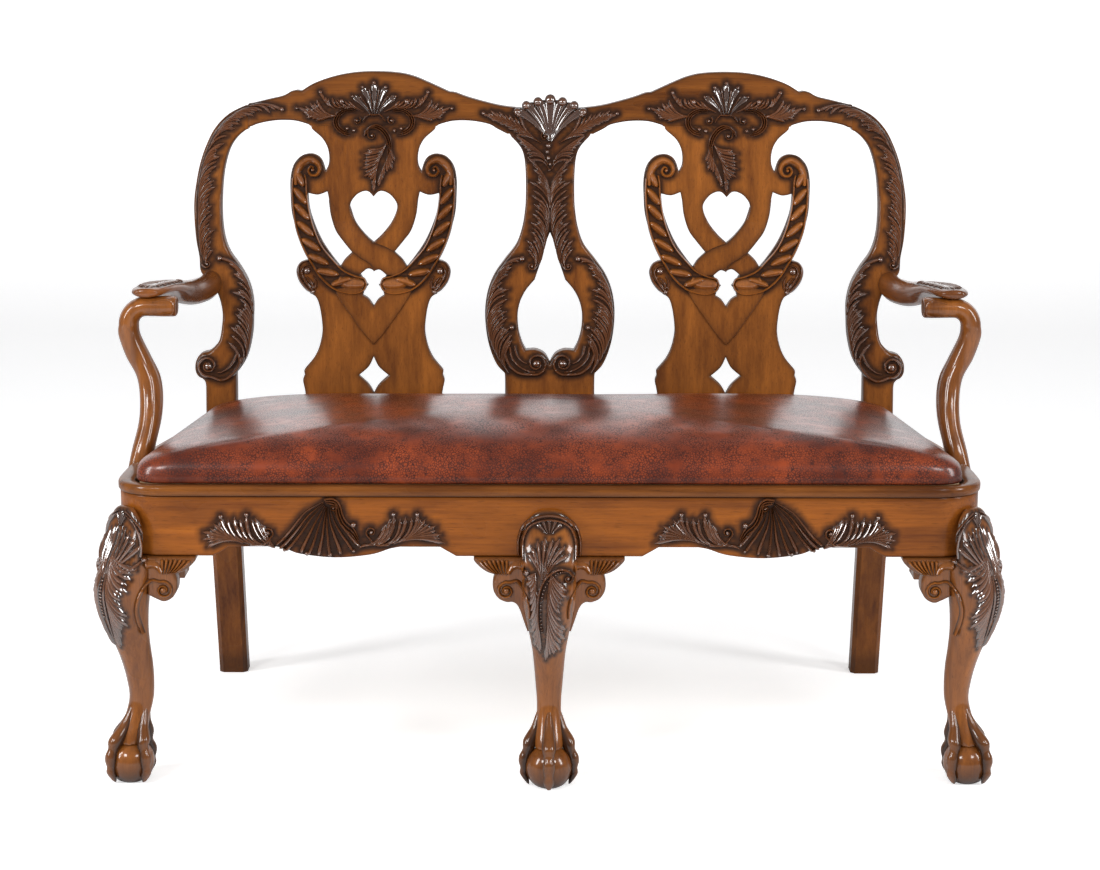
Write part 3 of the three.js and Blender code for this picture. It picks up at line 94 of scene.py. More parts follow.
# %% [markdown]
# ## Camera
# The settee was seen from the front and a little above, through a long lens. The place and tilt were
# worked out from the level lines of the seat rail and the crest, so they are set as numbers here.

# %% Camera
EYE_HEIGHT = 1262.8
EYE_DISTANCE = 3601.2
TILT_DOWN = 11.47
ROLL = 0.12
PHOTO_WIDTH = 1100
FOCAL_PIXELS = 2517

camera_data = bpy.data.cameras.new("camera")
camera = bpy.data.objects.new("camera", camera_data)
bpy.context.scene.collection.objects.link(camera)
camera.location = place(0.7, -EYE_DISTANCE, EYE_HEIGHT)
tilt = Matrix.Rotation(math.radians(90 - TILT_DOWN), 3, "X")
camera.rotation_euler = (tilt @ Matrix.Rotation(math.radians(ROLL), 3, "Z")).to_euler()
camera_data.sensor_width = 36
camera_data.lens = 36 * FOCAL_PIXELS / PHOTO_WIDTH
bpy.context.scene.camera = camera
print("lens in mm:", round(camera_data.lens, 1))

# %% [markdown]
# ## Shader nodes
# Every finish below is a small net of shader nodes. One helper adds a node and wires its inputs. The
# others make the steps that come back often: a sum, a change of range, a blend, a noise and a dent.

# %% Adding nodes
WHITE = (1, 1, 1, 1)


def wire(tree, node, sockets):
    """Sets each input to a value, or links it to an output of another node."""
    for name, value in sockets.items():
        if isinstance(value, bpy.types.NodeSocket):
            tree.links.new(value, node.inputs[name])
        else:
            node.inputs[name].default_value = value


def add(tree, kind, sockets={}, **settings):
    node = tree.nodes.new("ShaderNode" + kind)
    for name, value in settings.items():
        setattr(node, name, value)
    wire(tree, node, sockets)
    return node


def calc(tree, operation, *values):
    return add(tree, "Math", dict(enumerate(values)), operation=operation).outputs[0]


def ranged(tree, value, low, high, to_low=0.0, to_high=1.0):
    span = {"From Min": low, "From Max": high, "To Min": to_low, "To Max": to_high}
    return add(tree, "MapRange", {"Value": value, **span}).outputs["Result"]


def mixed(tree, share, a, b):
    return add(tree, "Mix", {"Factor": share, "A": a, "B": b}, data_type="RGBA").outputs["Result"]


def noisy(tree, spot, scale, **more):
    return add(tree, "TexNoise", {"Vector": spot, "Scale": scale, **more}).outputs["Fac"]


def dented(tree, height, strength, distance):
    return add(tree, "Bump", {"Height": height, "Strength": strength, "Distance": distance}).outputs["Normal"]


def new_material(name):
    """A material, its node tree, its shader, and the place on the object as an output to link."""
    material = bpy.data.materials.new(name)
    material.use_nodes = True
    tree = material.node_tree
    return material, tree, tree.nodes["Principled BSDF"], add(tree, "TexCoord").outputs["Object"]


# %% [markdown]
# ## Studio
# Furniture is shot in a white cove: the floor runs up into the wall, and soft boxes stand on both
# sides, in front and overhead. The floor is a sheet with its rear edge bent up. Its paint is white, and
# only the camera sees the whole of the glow that lifts it to paper white, so the feet keep a shadow.
# Polish mirrors less of the glow, and least of it near the floor, which would veil the legs.

# %% Cove
COVE_HALF = 9.0
COVE_BACK = 4.0
COVE_RADIUS = 2.0
FLOOR_GLOW = 0.55
MIRRORED_FLOOR, MIRRORED_WALL = 0.1, 0.8
GLOW_HEIGHT, MIRRORED_HEIGHT = 0.8, 1.2
WALL_HEIGHT = 5.0


def cove_mesh():
    bm = bmesh.new()
    start = bm.verts.new((-COVE_HALF, -COVE_HALF, 0))
    end = bm.verts.new((COVE_HALF, -COVE_HALF, 0))
    edge = bm.edges.new((start, end))
    made = bmesh.ops.extrude_edge_only(bm, edges=[edge])["geom"]
    moved = [v for v in made if isinstance(v, bmesh.types.BMVert)]
    bmesh.ops.translate(bm, vec=(0, COVE_HALF + COVE_BACK, 0), verts=moved)
    bend = [e for e in made if isinstance(e, bmesh.types.BMEdge) and set(e.verts) <= set(moved)]
    bmesh.ops.spin(
        bm, geom=moved + bend, cent=(0, COVE_BACK, COVE_RADIUS), axis=(1, 0, 0),
        angle=math.radians(90), steps=24,
    )
    top = sorted(bm.verts, key=lambda v: v.co.z)[-2:]
    rim = [e for e in bm.edges if e.verts[0] in top and e.verts[1] in top]
    wall = bmesh.ops.extrude_edge_only(bm, edges=rim)["geom"]
    raised = [v for v in wall if isinstance(v, bmesh.types.BMVert)]
    bmesh.ops.translate(bm, vec=(0, 0, WALL_HEIGHT), verts=raised)
    bmesh.ops.recalc_face_normals(bm, faces=bm.faces)
    mesh = bpy.data.meshes.new("cove")
    bm.to_mesh(mesh)
    bm.free()
    mesh.shade_smooth()
    return mesh


cove = bpy.data.objects.new("cove", cove_mesh())
bpy.context.scene.collection.objects.link(cove)
print("cove:", len(cove.data.polygons), "faces")

# %% White paint


def white_paint():
    material, tree, shader, spot = new_material("white_cove")
    rays = add(tree, "LightPath").outputs
    height = add(tree, "SeparateXYZ", {0: spot}).outputs["Z"]
    seen = calc(tree, "MAXIMUM", rays["Is Camera Ray"], rays["Is Transmission Ray"])
    in_gloss = ranged(tree, height, 0, MIRRORED_HEIGHT, MIRRORED_FLOOR, MIRRORED_WALL)
    shown = calc(tree, "MAXIMUM", seen, calc(tree, "MULTIPLY", rays["Is Glossy Ray"], in_gloss))
    level = calc(tree, "MULTIPLY", shown, ranged(tree, height, 0, GLOW_HEIGHT, FLOOR_GLOW))
    paint = add(tree, "BsdfDiffuse", {"Color": (0.9, 0.9, 0.91, 1)})
    glow = add(tree, "Emission", {"Color": WHITE, "Strength": level})
    both = add(tree, "AddShader", {0: paint.outputs[0], 1: glow.outputs[0]})
    wire(tree, tree.nodes["Material Output"], {"Surface": both.outputs[0]})
    tree.nodes.remove(shader)
    return material


cove.data.materials.append(white_paint())
print("painted the", cove.name, "white")

# %% Lamps and what lies round the cove


def soft_box(name, where, width, height, watts, target=(0, 0, 0.5)):
    data = bpy.data.lights.new(name, "AREA")
    data.shape = "RECTANGLE"
    data.size = width
    data.size_y = height
    data.energy = watts
    lamp = bpy.data.objects.new(name, data)
    lamp.location = where
    lamp.rotation_euler = (Vector(target) - Vector(where)).to_track_quat("-Z", "Y").to_euler()
    bpy.context.scene.collection.objects.link(lamp)
    return lamp


soft_box("box_left", (-2.9, -1.5, 1.7), 0.6, 1.5, 52)
soft_box("box_right", (2.9, -1.3, 1.6), 0.6, 1.5, 44)
soft_box("box_front_left", (-2.0, -3.0, 2.6), 0.9, 0.7, 46)
soft_box("box_front_right", (2.0, -3.0, 2.6), 0.9, 0.7, 36)
overhead = soft_box("box_top", (0, -0.6, 3.2), 2.6, 1.6, 24, target=(0, 0.1, 0.3))
overhead.visible_glossy = False

world = bpy.data.worlds.new("studio")
bpy.context.scene.world = world
world.use_nodes = True
sky = world.node_tree
sky.nodes.clear()
sky_rays = add(sky, "LightPath").outputs
sky_seen = calc(sky, "MAXIMUM", sky_rays["Is Camera Ray"], sky_rays["Is Transmission Ray"])
sky_light = add(sky, "Background", {"Color": WHITE, "Strength": ranged(sky, sky_seen, 0, 1, 0.25)})
add(sky, "OutputWorld", {"Surface": sky_light.outputs[0]})
bpy.context.scene.view_settings.view_transform = "Standard"
print("five soft boxes and a white cove")

# %% [markdown]
# ## Walnut under an old finish, with painted shade
# Polished walnut shows three things at once: long streaks of grain, cloudy patches where the light
# lies in the wood, and darkness in corners and round carving, which is partly the dark glaze that the
# polisher left there and partly painted shade. Grain and clouds are noise stretched along the wood. The glaze
# and painted shade can't be guessed from a place alone, so each piece carries them as a number on its points,
# under the name set just below, and the shader only breaks up its edge.

# %% Grain as a shader group
GLAZE_AND_SHADE = "glaze_and_shade"


def new_group(name, **inputs):
    """A shader group that puts out a colour, a roughness and a height. A value of None asks for a place."""
    tree = bpy.data.node_groups.new(name, "ShaderNodeTree")
    for label, value in inputs.items():
        kind = "Vector" if value is None else "Color" if isinstance(value, tuple) else "Float"
        socket = tree.interface.new_socket(label, in_out="INPUT", socket_type="NodeSocket" + kind)
        if value is not None:
            socket.default_value = value
    for label, kind in (("Color", "Color"), ("Roughness", "Float"), ("Height", "Float")):
        tree.interface.new_socket(label, in_out="OUTPUT", socket_type="NodeSocket" + kind)
    return tree, tree.nodes.new("NodeGroupInput").outputs, tree.nodes.new("NodeGroupOutput")


def grain_group():
    tree, given, made = new_group(
        "walnut_grain", Grain=None, Light=(0.4, 0.16, 0.04, 1), Dark=(0.12, 0.035, 0.01, 1),
        Glazed=(0.03, 0.01, 0.004, 1), Glaze=0.0,
    )
    plus = lambda a, b: calc(tree, "ADD", a, b)
    times = lambda a, b: calc(tree, "MULTIPLY", a, b)

    def stretched(scale, detail, along):
        spread = add(tree, "Mapping", {"Vector": given["Grain"], "Scale": (1, 1, along)})
        return noisy(tree, spread.outputs[0], scale, Detail=detail, Roughness=0.6)

    clouds, streaks = stretched(9, 2, 0.45), stretched(60, 4, 0.07)
    fine = stretched(300, 3, 0.035)
    pores = ranged(tree, stretched(900, 1, 0.05), 0.62, 0.72)
    drawn = plus(plus(times(clouds, 0.85), times(streaks, 0.85)), times(fine, 0.35))
    figure = mixed(tree, ranged(tree, drawn, 0.72, 1.33), given["Dark"], given["Light"])
    pored = mixed(tree, times(pores, 0.35), figure, given["Glazed"])
    # The glaze and painted shade number darkens the colour toward the darkest colour, with streak noise in
    # its edge, and roughens it a little
    patchy = plus(given["Glaze"], times(calc(tree, "SUBTRACT", streaks, 0.5), 0.5))
    kept = times(ranged(tree, patchy, 0.1, 0.95), ranged(tree, given["Glaze"], 0, 0.12))
    wire(tree, made, {
        "Color": mixed(tree, times(kept, 0.92), pored, given["Glazed"]),
        "Roughness": plus(ranged(tree, clouds, 0.3, 0.7, 0.24, 0.34), times(kept, 0.12)),
        "Height": calc(tree, "SUBTRACT", times(fine, 0.5), pores),
    })
    return tree


grain = grain_group()
print("grain group with", len(grain.nodes), "nodes")

# %% Walnut, in materials for each way that the grain runs
GOLD = (0.31, 0.1, 0.016)
BROWN = (0.088, 0.025, 0.006)
TREACLE = (0.016, 0.006, 0.003)
UPRIGHT = (0, 0, 0)
LEVEL = (0, math.radians(90), 0)
TOWARD_BACK = (math.radians(90), 0, 0)


def wood(name, turn, light, dark, glazed_and_shaded, strength, distance):
    """A material with the grain on it, with its node tree, its shader and the node of the grain."""
    material, tree, shader, spot = new_material(name)
    figure = add(tree, "Group", {
        "Grain": add(tree, "Mapping", {"Vector": spot, "Rotation": turn}).outputs[0],
        "Light": (*light, 1), "Dark": (*dark, 1), "Glazed": (*glazed_and_shaded, 1),
    }, node_tree=grain)
    normal = dented(tree, figure.outputs["Height"], strength, distance)
    wire(tree, shader, {"Base Color": figure.outputs["Color"], "Normal": normal})
    return material, tree, shader, figure


def walnut(name, turn, light=GOLD, dark=BROWN, glazed_and_shaded=TREACLE, coat=0.3, coat_ior=1.5):
    material, tree, shader, figure = wood(name, turn, light, dark, glazed_and_shaded, 0.25, 0.0004)
    wire(tree, figure, {"Glaze": add(tree, "Attribute", attribute_name=GLAZE_AND_SHADE).outputs["Fac"]})
    wire(tree, shader, {
        "Roughness": figure.outputs["Roughness"], "Specular IOR Level": 0.12,
        "Coat Weight": coat, "Coat IOR": coat_ior, "Coat Roughness": 0.1,
    })
    return material


walnut_upright = walnut("walnut_upright", UPRIGHT)
walnut_level = walnut("walnut_level", LEVEL, (0.27, 0.087, 0.014), (0.076, 0.022, 0.005))
walnut_rail = walnut("walnut_rail", LEVEL, (0.37, 0.108, 0.012), (0.1, 0.026, 0.005), coat=0.15)
walnut_side = walnut("walnut_side", TOWARD_BACK)
walnut_round = walnut("walnut_round", UPRIGHT, (0.32, 0.104, 0.018), (0.094, 0.028, 0.007), TREACLE, 0.6, 1.6)
walnut_arm = walnut("walnut_arm", TOWARD_BACK, (0.24, 0.074, 0.015), (0.074, 0.022, 0.006), TREACLE, 0.6, 1.6)
walnut_carved = walnut(
    "walnut_carved", UPRIGHT, (0.18, 0.06, 0.019), (0.063, 0.021, 0.008), (0.007, 0.0036, 0.0024), 1.0, 2.2
)
walnut_rope = walnut("walnut_rope", UPRIGHT, (0.4, 0.13, 0.022), (0.13, 0.038, 0.008), TREACLE, 0.9, 1.8)
print("walnut with the grain upright, level and toward the back, and darker or glossier kinds of each")

# %% Raw beech and jute for what the seat hides
beech, _, beech_shader, _ = wood(
    "beech_raw", LEVEL, (0.66, 0.46, 0.27), (0.48, 0.31, 0.17), (0.2, 0.11, 0.05), 0.4, 0.0005
)
beech_shader.inputs["Roughness"].default_value = 0.7


def jute_weave():
    """Coarse plain weave: waves of yarn in both directions, in a straw colour that varies."""
    material, tree, shader, spot = new_material("jute_webbing")
    yarn = {"Vector": spot, "Scale": 120, "Distortion": 0.6}
    warp, weft = [add(tree, "TexWave", yarn, bands_direction=way).outputs["Fac"] for way in ("X", "Y")]
    weave = calc(tree, "MULTIPLY", warp, weft)
    tone = calc(tree, "MULTIPLY_ADD", weave, 0.6, noisy(tree, spot, 60))
    wire(tree, shader, {
        "Base Color": mixed(tree, tone, (0.26, 0.18, 0.09, 1), (0.62, 0.49, 0.3, 1)),
        "Roughness": 0.9, "Normal": dented(tree, weave, 0.6, 0.0008),
    })
    return material


jute = jute_weave()
print("raw beech and jute webbing")

# %% Finish for every CAD node that stays
FINISH = {"walnut": walnut_upright, "dark_walnut": walnut_carved, "beech": beech}
LYING = ("rail_front", "rail_rear", "seat_moulding_front", "splat_shoe", "crest_rail")
SIDEWAYS = ("rail_side", "seat_moulding_side", "arm_left", "arm_right")

for part in frame["record"]["subparts"]:
    name = part["node"]
    slot = part["material_slot"]
    if slot not in FINISH:
        continue
    finish = FINISH[slot]
    if slot == "walnut" and name.startswith(LYING):
        finish = walnut_level
    if slot == "walnut" and name.startswith(SIDEWAYS):
        finish = walnut_side
    nodes[name].data.materials.clear()
    nodes[name].data.materials.append(finish)
print("finish set on the CAD nodes of wood, where they stay")

# %% [markdown]
# ## Drawing smooth outlines
# The back is fretwork: boards sawn to long curves. An outline is a list of runs, and each run goes on
# from the end of the one before. A single point ends a straight edge, and more points are a smooth
# curve through them, so corners stay crisp where two runs meet. Points are shares of a piece's half
# width and of the back's rise.

# %% Smooth lines


def through(knots, steps=6):
    """A smooth line through the knots, which may hold any number of values each."""
    knots = [Vector(knot) for knot in knots]
    last = len(knots) - 1
    line = []
    for k in range(last):
        a, b, c, d = knots[max(k - 1, 0)], knots[k], knots[k + 1], knots[min(k + 2, last)]
        for step in range(steps):
            t = step / steps
            second, third = 2 * a - 5 * b + 4 * c - d, 3 * b - a - 3 * c + d
            line.append((2 * b + (c - a) * t + second * t ** 2 + third * t ** 3) / 2)
    return line + [knots[-1]]


def outline(runs, width, x=0.0, height=BACK_RISE, z=RAIL_TOP):
    points = []
    start = []
    for run in runs:
        knots = [Vector((x + a * width, z + b * height)) for a, b in start + run]
        line = through(knots) if len(knots) > 2 else knots
        points.extend(line[1:] if points else line)
        start = run[-1:]
    return points


def flipped(points, x=0.0):
    """The mirror image of an outline about the upright line at x."""
    return [Vector((2 * x - p.x, p.y)) for p in reversed(points)]


def both_halves(half, x=0.0):
    """A half outline from the top of the middle line to its bottom, joined to its mirror image."""
    return half + [p for p in flipped(half, x) if abs(p.x - x) > 0.3]


# %% [markdown]
# ## Sawing a board
# A flat Blender curve does what a fret saw and a round-over cutter do: it fills an outline, leaves its
# openings, gives it thickness and rounds both edges. The curve becomes a mesh, which is stood up,
# leaned back, and scored into squares of a few millimetres with `bisect_plane`. The squares
# don't show. They are there to hold the glaze and painted shade, which is a number on each point.

# %% Boards
SCORE = 6.0


def scored(bm, step):
    """Cuts the mesh along a square lattice in x and z, without taking anything away."""
    for axis in (0, 2):
        reach = [v.co[axis] for v in bm.verts]
        direction = Vector((0, 0, 0))
        direction[axis] = 1
        count = int((max(reach) - min(reach)) / (step * MM))
        for k in range(1, count):
            across = min(reach) + (max(reach) - min(reach)) * k / count
            bmesh.ops.bisect_plane(
                bm, geom=bm.verts[:] + bm.edges[:] + bm.faces[:], dist=1e-6,
                plane_co=direction * across, plane_no=direction,
            )


def sawn(loops, front, thickness, rounding=3.0, score=SCORE):
    """A bmesh of a board sawn to x, z loops, the first its outline and the others its openings."""
    shape = bpy.data.curves.new("outline", "CURVE")
    shape.dimensions = "2D"
    shape.fill_mode = "BOTH"
    middle = thickness(RAIL_TOP + BACK_RISE / 2)
    shape.extrude = (middle / 2 - rounding) * MM
    shape.bevel_depth = rounding * MM
    shape.bevel_resolution = 2
    shape.offset = -rounding * MM
    for loop in loops:
        spline = shape.splines.new("POLY")
        spline.points.add(len(loop) - 1)
        spline.use_cyclic_u = True
        for point, (x, z) in zip(spline.points, loop):
            point.co = (x * MM, z * MM, 0, 1)
    holder = bpy.data.objects.new("outline", shape)
    mesh = bpy.data.meshes.new_from_object(holder)
    bm = bmesh.new()
    bm.from_mesh(mesh)
    bpy.data.objects.remove(holder)
    bpy.data.curves.remove(shape)
    bpy.data.meshes.remove(mesh)
    bmesh.ops.remove_doubles(bm, verts=bm.verts, dist=1e-5)
    bm.verts.layers.float.new(GLAZE_AND_SHADE)
    for vert in bm.verts:
        x, z, out = vert.co
        depth = 0.5 - out / (middle * MM)
        high = z / MM
        vert.co = place(x / MM, front(high) + depth * thickness(high), high)
    if score:
        scored(bm, score)
    return bm


# %% Glaze and painted shade on a board


def nearest_of(points):
    """A function that gives the distance from a place to the nearest of the points."""
    tree = kdtree.KDTree(len(points))
    for k, point in enumerate(points):
        tree.insert(point, k)
    tree.balance()
    return lambda spot: tree.find(spot)[2]


def edge_glaze_and_shade(bm, loops, strength=0.75, reach=5.0):
    """Darkens a board toward its sawn edges, with the polisher's glaze and painted shade."""
    edges = []
    for loop in loops:
        for a, b in zip(loop, loop[1:] + loop[:1]):
            count = max(int((b - a).length / 3), 1)
            edges.extend(a.lerp(b, k / count) for k in range(count))
    away = nearest_of([(point.x, 0, point.y) for point in edges])
    layer = bm.verts.layers.float[GLAZE_AND_SHADE]
    for vert in bm.verts:
        vert[layer] = strength * math.exp(-away((vert.co.x / MM, 0, vert.co.z / MM)) / reach)


def joints_kept_clear(bm, joints, reach=9.0):
    """Keeps the glaze and painted shade off the stretches where a board runs on into the next one."""
    layer = bm.verts.layers.float[GLAZE_AND_SHADE]
    for vert in bm.verts:
        spot = (vert.co.x / MM, 0, vert.co.z / MM)
        for axis, at, low, high in joints:
            if low <= spot[2 - axis] <= high:
                vert[layer] *= min(abs(spot[axis] - at) / reach, 1)


def squared(bm, axis, at, where=lambda x, z: True, reach=4.1):
    """Takes the rounding off an edge that butts against another board: x for axis 0, z for axis 2."""
    for vert in bm.verts:
        if abs(vert.co[axis] / MM - at) < reach and where(vert.co.x / MM, vert.co.z / MM):
            vert.co[axis] = at * MM


def glaze_and_shade_round(pieces, carvings, reach=5.0, strength=1.0):
    """Adds glaze and painted shade on the boards round the carving that is laid on them."""
    away = nearest_of([v.co for carving in carvings for v in carving.data.vertices])
    for piece in pieces:
        values = piece.data.attributes[GLAZE_AND_SHADE].data
        for vert in piece.data.vertices:
            glaze_and_shade = strength * math.exp(-(away(vert.co) / MM / reach) ** 2 / 2)
            values[vert.index].value = max(values[vert.index].value, glaze_and_shade)


# %% Finishing a piece


def finished(bm, name, material, slot="walnut", body="frame", stands_for="", sharp=40, again=False):
    """Closes the mesh, turns its faces outward and sets it on its body as a finished piece.

    Frees the bmesh, unless it is used again."""
    open_edges = [e for e in bm.edges if e.is_boundary]
    if open_edges:
        bmesh.ops.holes_fill(bm, edges=open_edges, sides=0)
    bmesh.ops.recalc_face_normals(bm, faces=bm.faces)
    mesh = bpy.data.meshes.new(name)
    bm.to_mesh(mesh)
    if not again:
        bm.free()
    mesh.shade_smooth()
    mesh.set_sharp_from_angle(angle=math.radians(sharp))
    piece = bpy.data.objects.new(name, mesh)
    bpy.context.scene.collection.objects.link(piece)
    piece.data.materials.append(material)
    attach(piece, body)
    if stands_for:
        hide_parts(stands_for)
    return piece


def turned_over(bm):
    """Mirrors a piece about the settee's middle."""
    bmesh.ops.scale(bm, vec=(-1, 1, 1), verts=bm.verts)


def finished_pair(bm, name, material, stands_for="", **more):
    """The left piece and its mirror image on the right. Returns both."""
    pieces = []
    for side in ("left", "right"):
        if pieces:
            turned_over(bm)
        node = f"{stands_for}_{side}" if stands_for else ""
        pieces.append(finished(bm, f"{name}_{side}", material, stands_for=node, again=not pieces, **more))
    return pieces


CARVED = {"material": walnut_carved, "slot": "dark_walnut", "sharp": 50}
print("carving is of", CARVED["slot"])

# %% [markdown]
# ## Crest rail
# The top rail of each chair back is one serpentine board: a hump in the middle, and two arches under
# it where the splat's shoulders spring. It is sawn, then its front edges are softened by hand.

# %% Crest rail
CREST_JOINT_X = -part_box("crest_rail_left")[0].x / MM
CREST_THICKNESS = 28.0
CREST_FOOT = RAIL_TOP + 0.85 * BACK_RISE
NECK_TOP = RAIL_TOP + 0.829 * BACK_RISE
SPLAT_JOINT = (-396, -186)
NECK_JOINT = (-72, 0)

crest_runs = [
    [(1, 0.909), (0.932, 0.923), (0.887, 0.932), (0.861, 0.944)],
    [(0.841, 0.948), (0.825, 0.946)],
    [(0.783, 0.967), (0.718, 0.986), (0.65, 0.997), (0.581, 1), (0.507, 0.997),
     (0.455, 0.988), (0.402, 0.97), (0.334, 0.944)],
    [(0.314, 0.942), (0.266, 0.928), (0.167, 0.907), (0.08, 0.899), (0, 0.895)],
    [(0, 0.829)],
    [(0.144, 0.829)],
    [(0.177, 0.843), (0.203, 0.855), (0.26, 0.864), (0.32, 0.864), (0.364, 0.855), (0.375, 0.85)],
    [(0.7963, 0.85)],
    [(0.807, 0.855), (0.851, 0.864), (0.911, 0.864), (0.968, 0.855), (1, 0.843)],
]
crest_line = outline(crest_runs, -CREST_JOINT_X)[:-1]
crest = sawn([crest_line], back_face, lambda z: CREST_THICKNESS, rounding=4)
squared(crest, 2, CREST_FOOT, where=lambda x, z: SPLAT_JOINT[0] < x < SPLAT_JOINT[1])
squared(crest, 2, NECK_TOP, where=lambda x, z: x > NECK_JOINT[0])
squared(crest, 0, -JOINT_GAP / 2)
squared(crest, 0, -CREST_JOINT_X)
edge_glaze_and_shade(crest, [crest_line])
crest_ends = [(0, end, 900, 1030) for end in (0, -CREST_JOINT_X)]
joints_kept_clear(crest, [(2, CREST_FOOT, *SPLAT_JOINT), (2, NECK_TOP, *NECK_JOINT), *crest_ends])
crest_pieces = finished_pair(crest, "crest", walnut_level, stands_for="crest_rail")
print("crest boards:", [len(p.data.polygons) for p in crest_pieces], "faces")

# %% [markdown]
# ## Splats
# A splat is a thin plate with a heart, two long windows, a four-lobed opening and a diamond cut through
# it. Two straps cross below the heart, and the plate itself is the lower one. The strap on top and the
# shield below it are thin boards planted on the plate, which is simpler to model than carving both
# levels out of one block, and their edges follow the openings' edges.

# %% Splat plates
SPLAT_HALF = 141.0
SPLAT_THICKNESS = 14.0

splat_runs = [
    [(0, 0.849), (-0.745, 0.849)],
    [(-0.7, 0.837), (-0.6, 0.816), (-0.54, 0.792), (-0.518, 0.766), (-0.525, 0.743), (-0.56, 0.725)],
    [(-0.593, 0.751), (-0.643, 0.766), (-0.731, 0.773), (-0.845, 0.766), (-0.933, 0.742),
     (-0.97, 0.705), (-0.97, 0.66), (-0.952, 0.606), (-0.883, 0.547), (-0.796, 0.502), (-0.73, 0.478)],
    [(-0.813, 0.476), (-0.874, 0.456), (-0.857, 0.426), (-0.778, 0.401), (-0.743, 0.385)],
    [(-0.674, 0.374), (-0.63, 0.345), (-0.603, 0.3), (-0.605, 0.272),
     (-0.64, 0.236), (-0.7, 0.206), (-0.79, 0.18)],
    [(-0.815, 0.171), (-0.81, 0.159)],
    [(-0.83, 0.143), (-0.81, 0.118), (-0.8, 0.099), (-0.8, 0.063)],
    [(0, 0.063)],
]
window_runs = [
    [(-0.765, 0.664), (-0.65, 0.659), (-0.54, 0.668)],
    [(-0.52, 0.645), (-0.497, 0.603), (-0.44, 0.561), (-0.355, 0.533), (-0.245, 0.501)],
    [(-0.335, 0.481), (-0.39, 0.461)],
    [(-0.475, 0.486), (-0.59, 0.526), (-0.68, 0.571), (-0.745, 0.619), (-0.765, 0.664)],
]
heart_runs = [[(0, 0.654), (-0.06, 0.668), (-0.13, 0.668), (-0.215, 0.655), (-0.277, 0.627), (-0.213, 0.585),
               (-0.1, 0.55), (0, 0.528)]]
quatrefoil_runs = [
    [(0, 0.449), (-0.07, 0.454), (-0.155, 0.439)],
    [(-0.11, 0.423), (-0.06, 0.409)],
    [(-0.1, 0.397), (-0.125, 0.381)],
    [(-0.055, 0.37), (0, 0.351)],
]
diamond_runs = [
    [(0, 0.209), (-0.06, 0.181), (-0.175, 0.157)],
    [(-0.06, 0.132), (0, 0.108)],
]
shield_runs = [
    [(0, 0.35), (-0.055, 0.369), (-0.126, 0.38)],
    [(-0.16, 0.402), (-0.45, 0.398)],
    [(-0.4, 0.37), (-0.25, 0.318), (-0.11, 0.272), (0, 0.243)],
]
strap_runs = [
    [(-0.524, 0.645), (-0.501, 0.603), (-0.444, 0.561), (-0.359, 0.532), (-0.249, 0.5)],
    [(-0.154, 0.483), (-0.1, 0.4755), (-0.059, 0.469), (-0.014, 0.459), (0, 0.447)],
    [(0.07, 0.452), (0.152, 0.437)],
    [(0.3, 0.435)],
    [(0.395, 0.46)],
    [(0.339, 0.481), (0.249, 0.501)],
    [(0.176, 0.511), (0.122, 0.5172), (0.069, 0.5215), (0, 0.5265)],
    [(-0.096, 0.549), (-0.209, 0.584), (-0.273, 0.627)],
    [(-0.524, 0.645)],
]


# %% Sawing the splats


def on_splat(runs):
    return outline(runs, SPLAT_HALF, x=-CHAIR_X)


def whole_on_splat(runs):
    return both_halves(on_splat(runs), -CHAIR_X)


window = on_splat(window_runs)[:-1]
plate_loops = [whole_on_splat(splat_runs), window, flipped(window, -CHAIR_X)]
plate_loops += [whole_on_splat(runs) for runs in (heart_runs, quatrefoil_runs, diamond_runs)]
plate = sawn(plate_loops, back_face, lambda z: SPLAT_THICKNESS, rounding=2)
squared(plate, 2, CREST_FOOT)
edge_glaze_and_shade(plate, plate_loops)
joints_kept_clear(plate, [(2, RAIL_TOP + 0.849 * BACK_RISE, -400, -180)])
plate_pieces = finished_pair(plate, "splat_plate", walnut_upright, stands_for="splat")
print("splat plates:", [len(p.data.polygons) for p in plate_pieces], "faces")

# %% Shield and upper strap
SHIELD_PROUD, SHIELD_THICKNESS = 2.4, 10.4
shield_loop = whole_on_splat(shield_runs)
shield = sawn([shield_loop], lambda z: back_face(z) - SHIELD_PROUD, lambda z: SHIELD_THICKNESS, rounding=1.2)
edge_glaze_and_shade(shield, [shield_loop], strength=0.6)
finished_pair(shield, "splat_shield", walnut_upright)
STRAP_TOP, STRAP_RUN = 802, 66
STRAP_SUNK, STRAP_CLIMB = 0.9, 4.2
strap_loop = on_splat(strap_runs)[:-1]


def strap_front(z):
    """The strap rises out of the plate on its way down to the crossing."""
    share = min(max((STRAP_TOP - z) / STRAP_RUN, 0), 1)
    return back_face(z) + STRAP_SUNK - STRAP_CLIMB * share * share * (3 - 2 * share)


strap = sawn([strap_loop], strap_front, lambda z: 11, rounding=1.5)
edge_glaze_and_shade(strap, [strap_loop], strength=0.9)
strap_pieces = finished_pair(strap, "splat_strap", walnut_upright)
print("straps:", len(strap_pieces[0].data.polygons), "faces each")

# %% [markdown]
# ## Middle post
# The two chair backs share a post shaped like a lyre, split below into two arms round a tear-shaped
# opening. It is thicker than the splats, so its edges get a larger round.

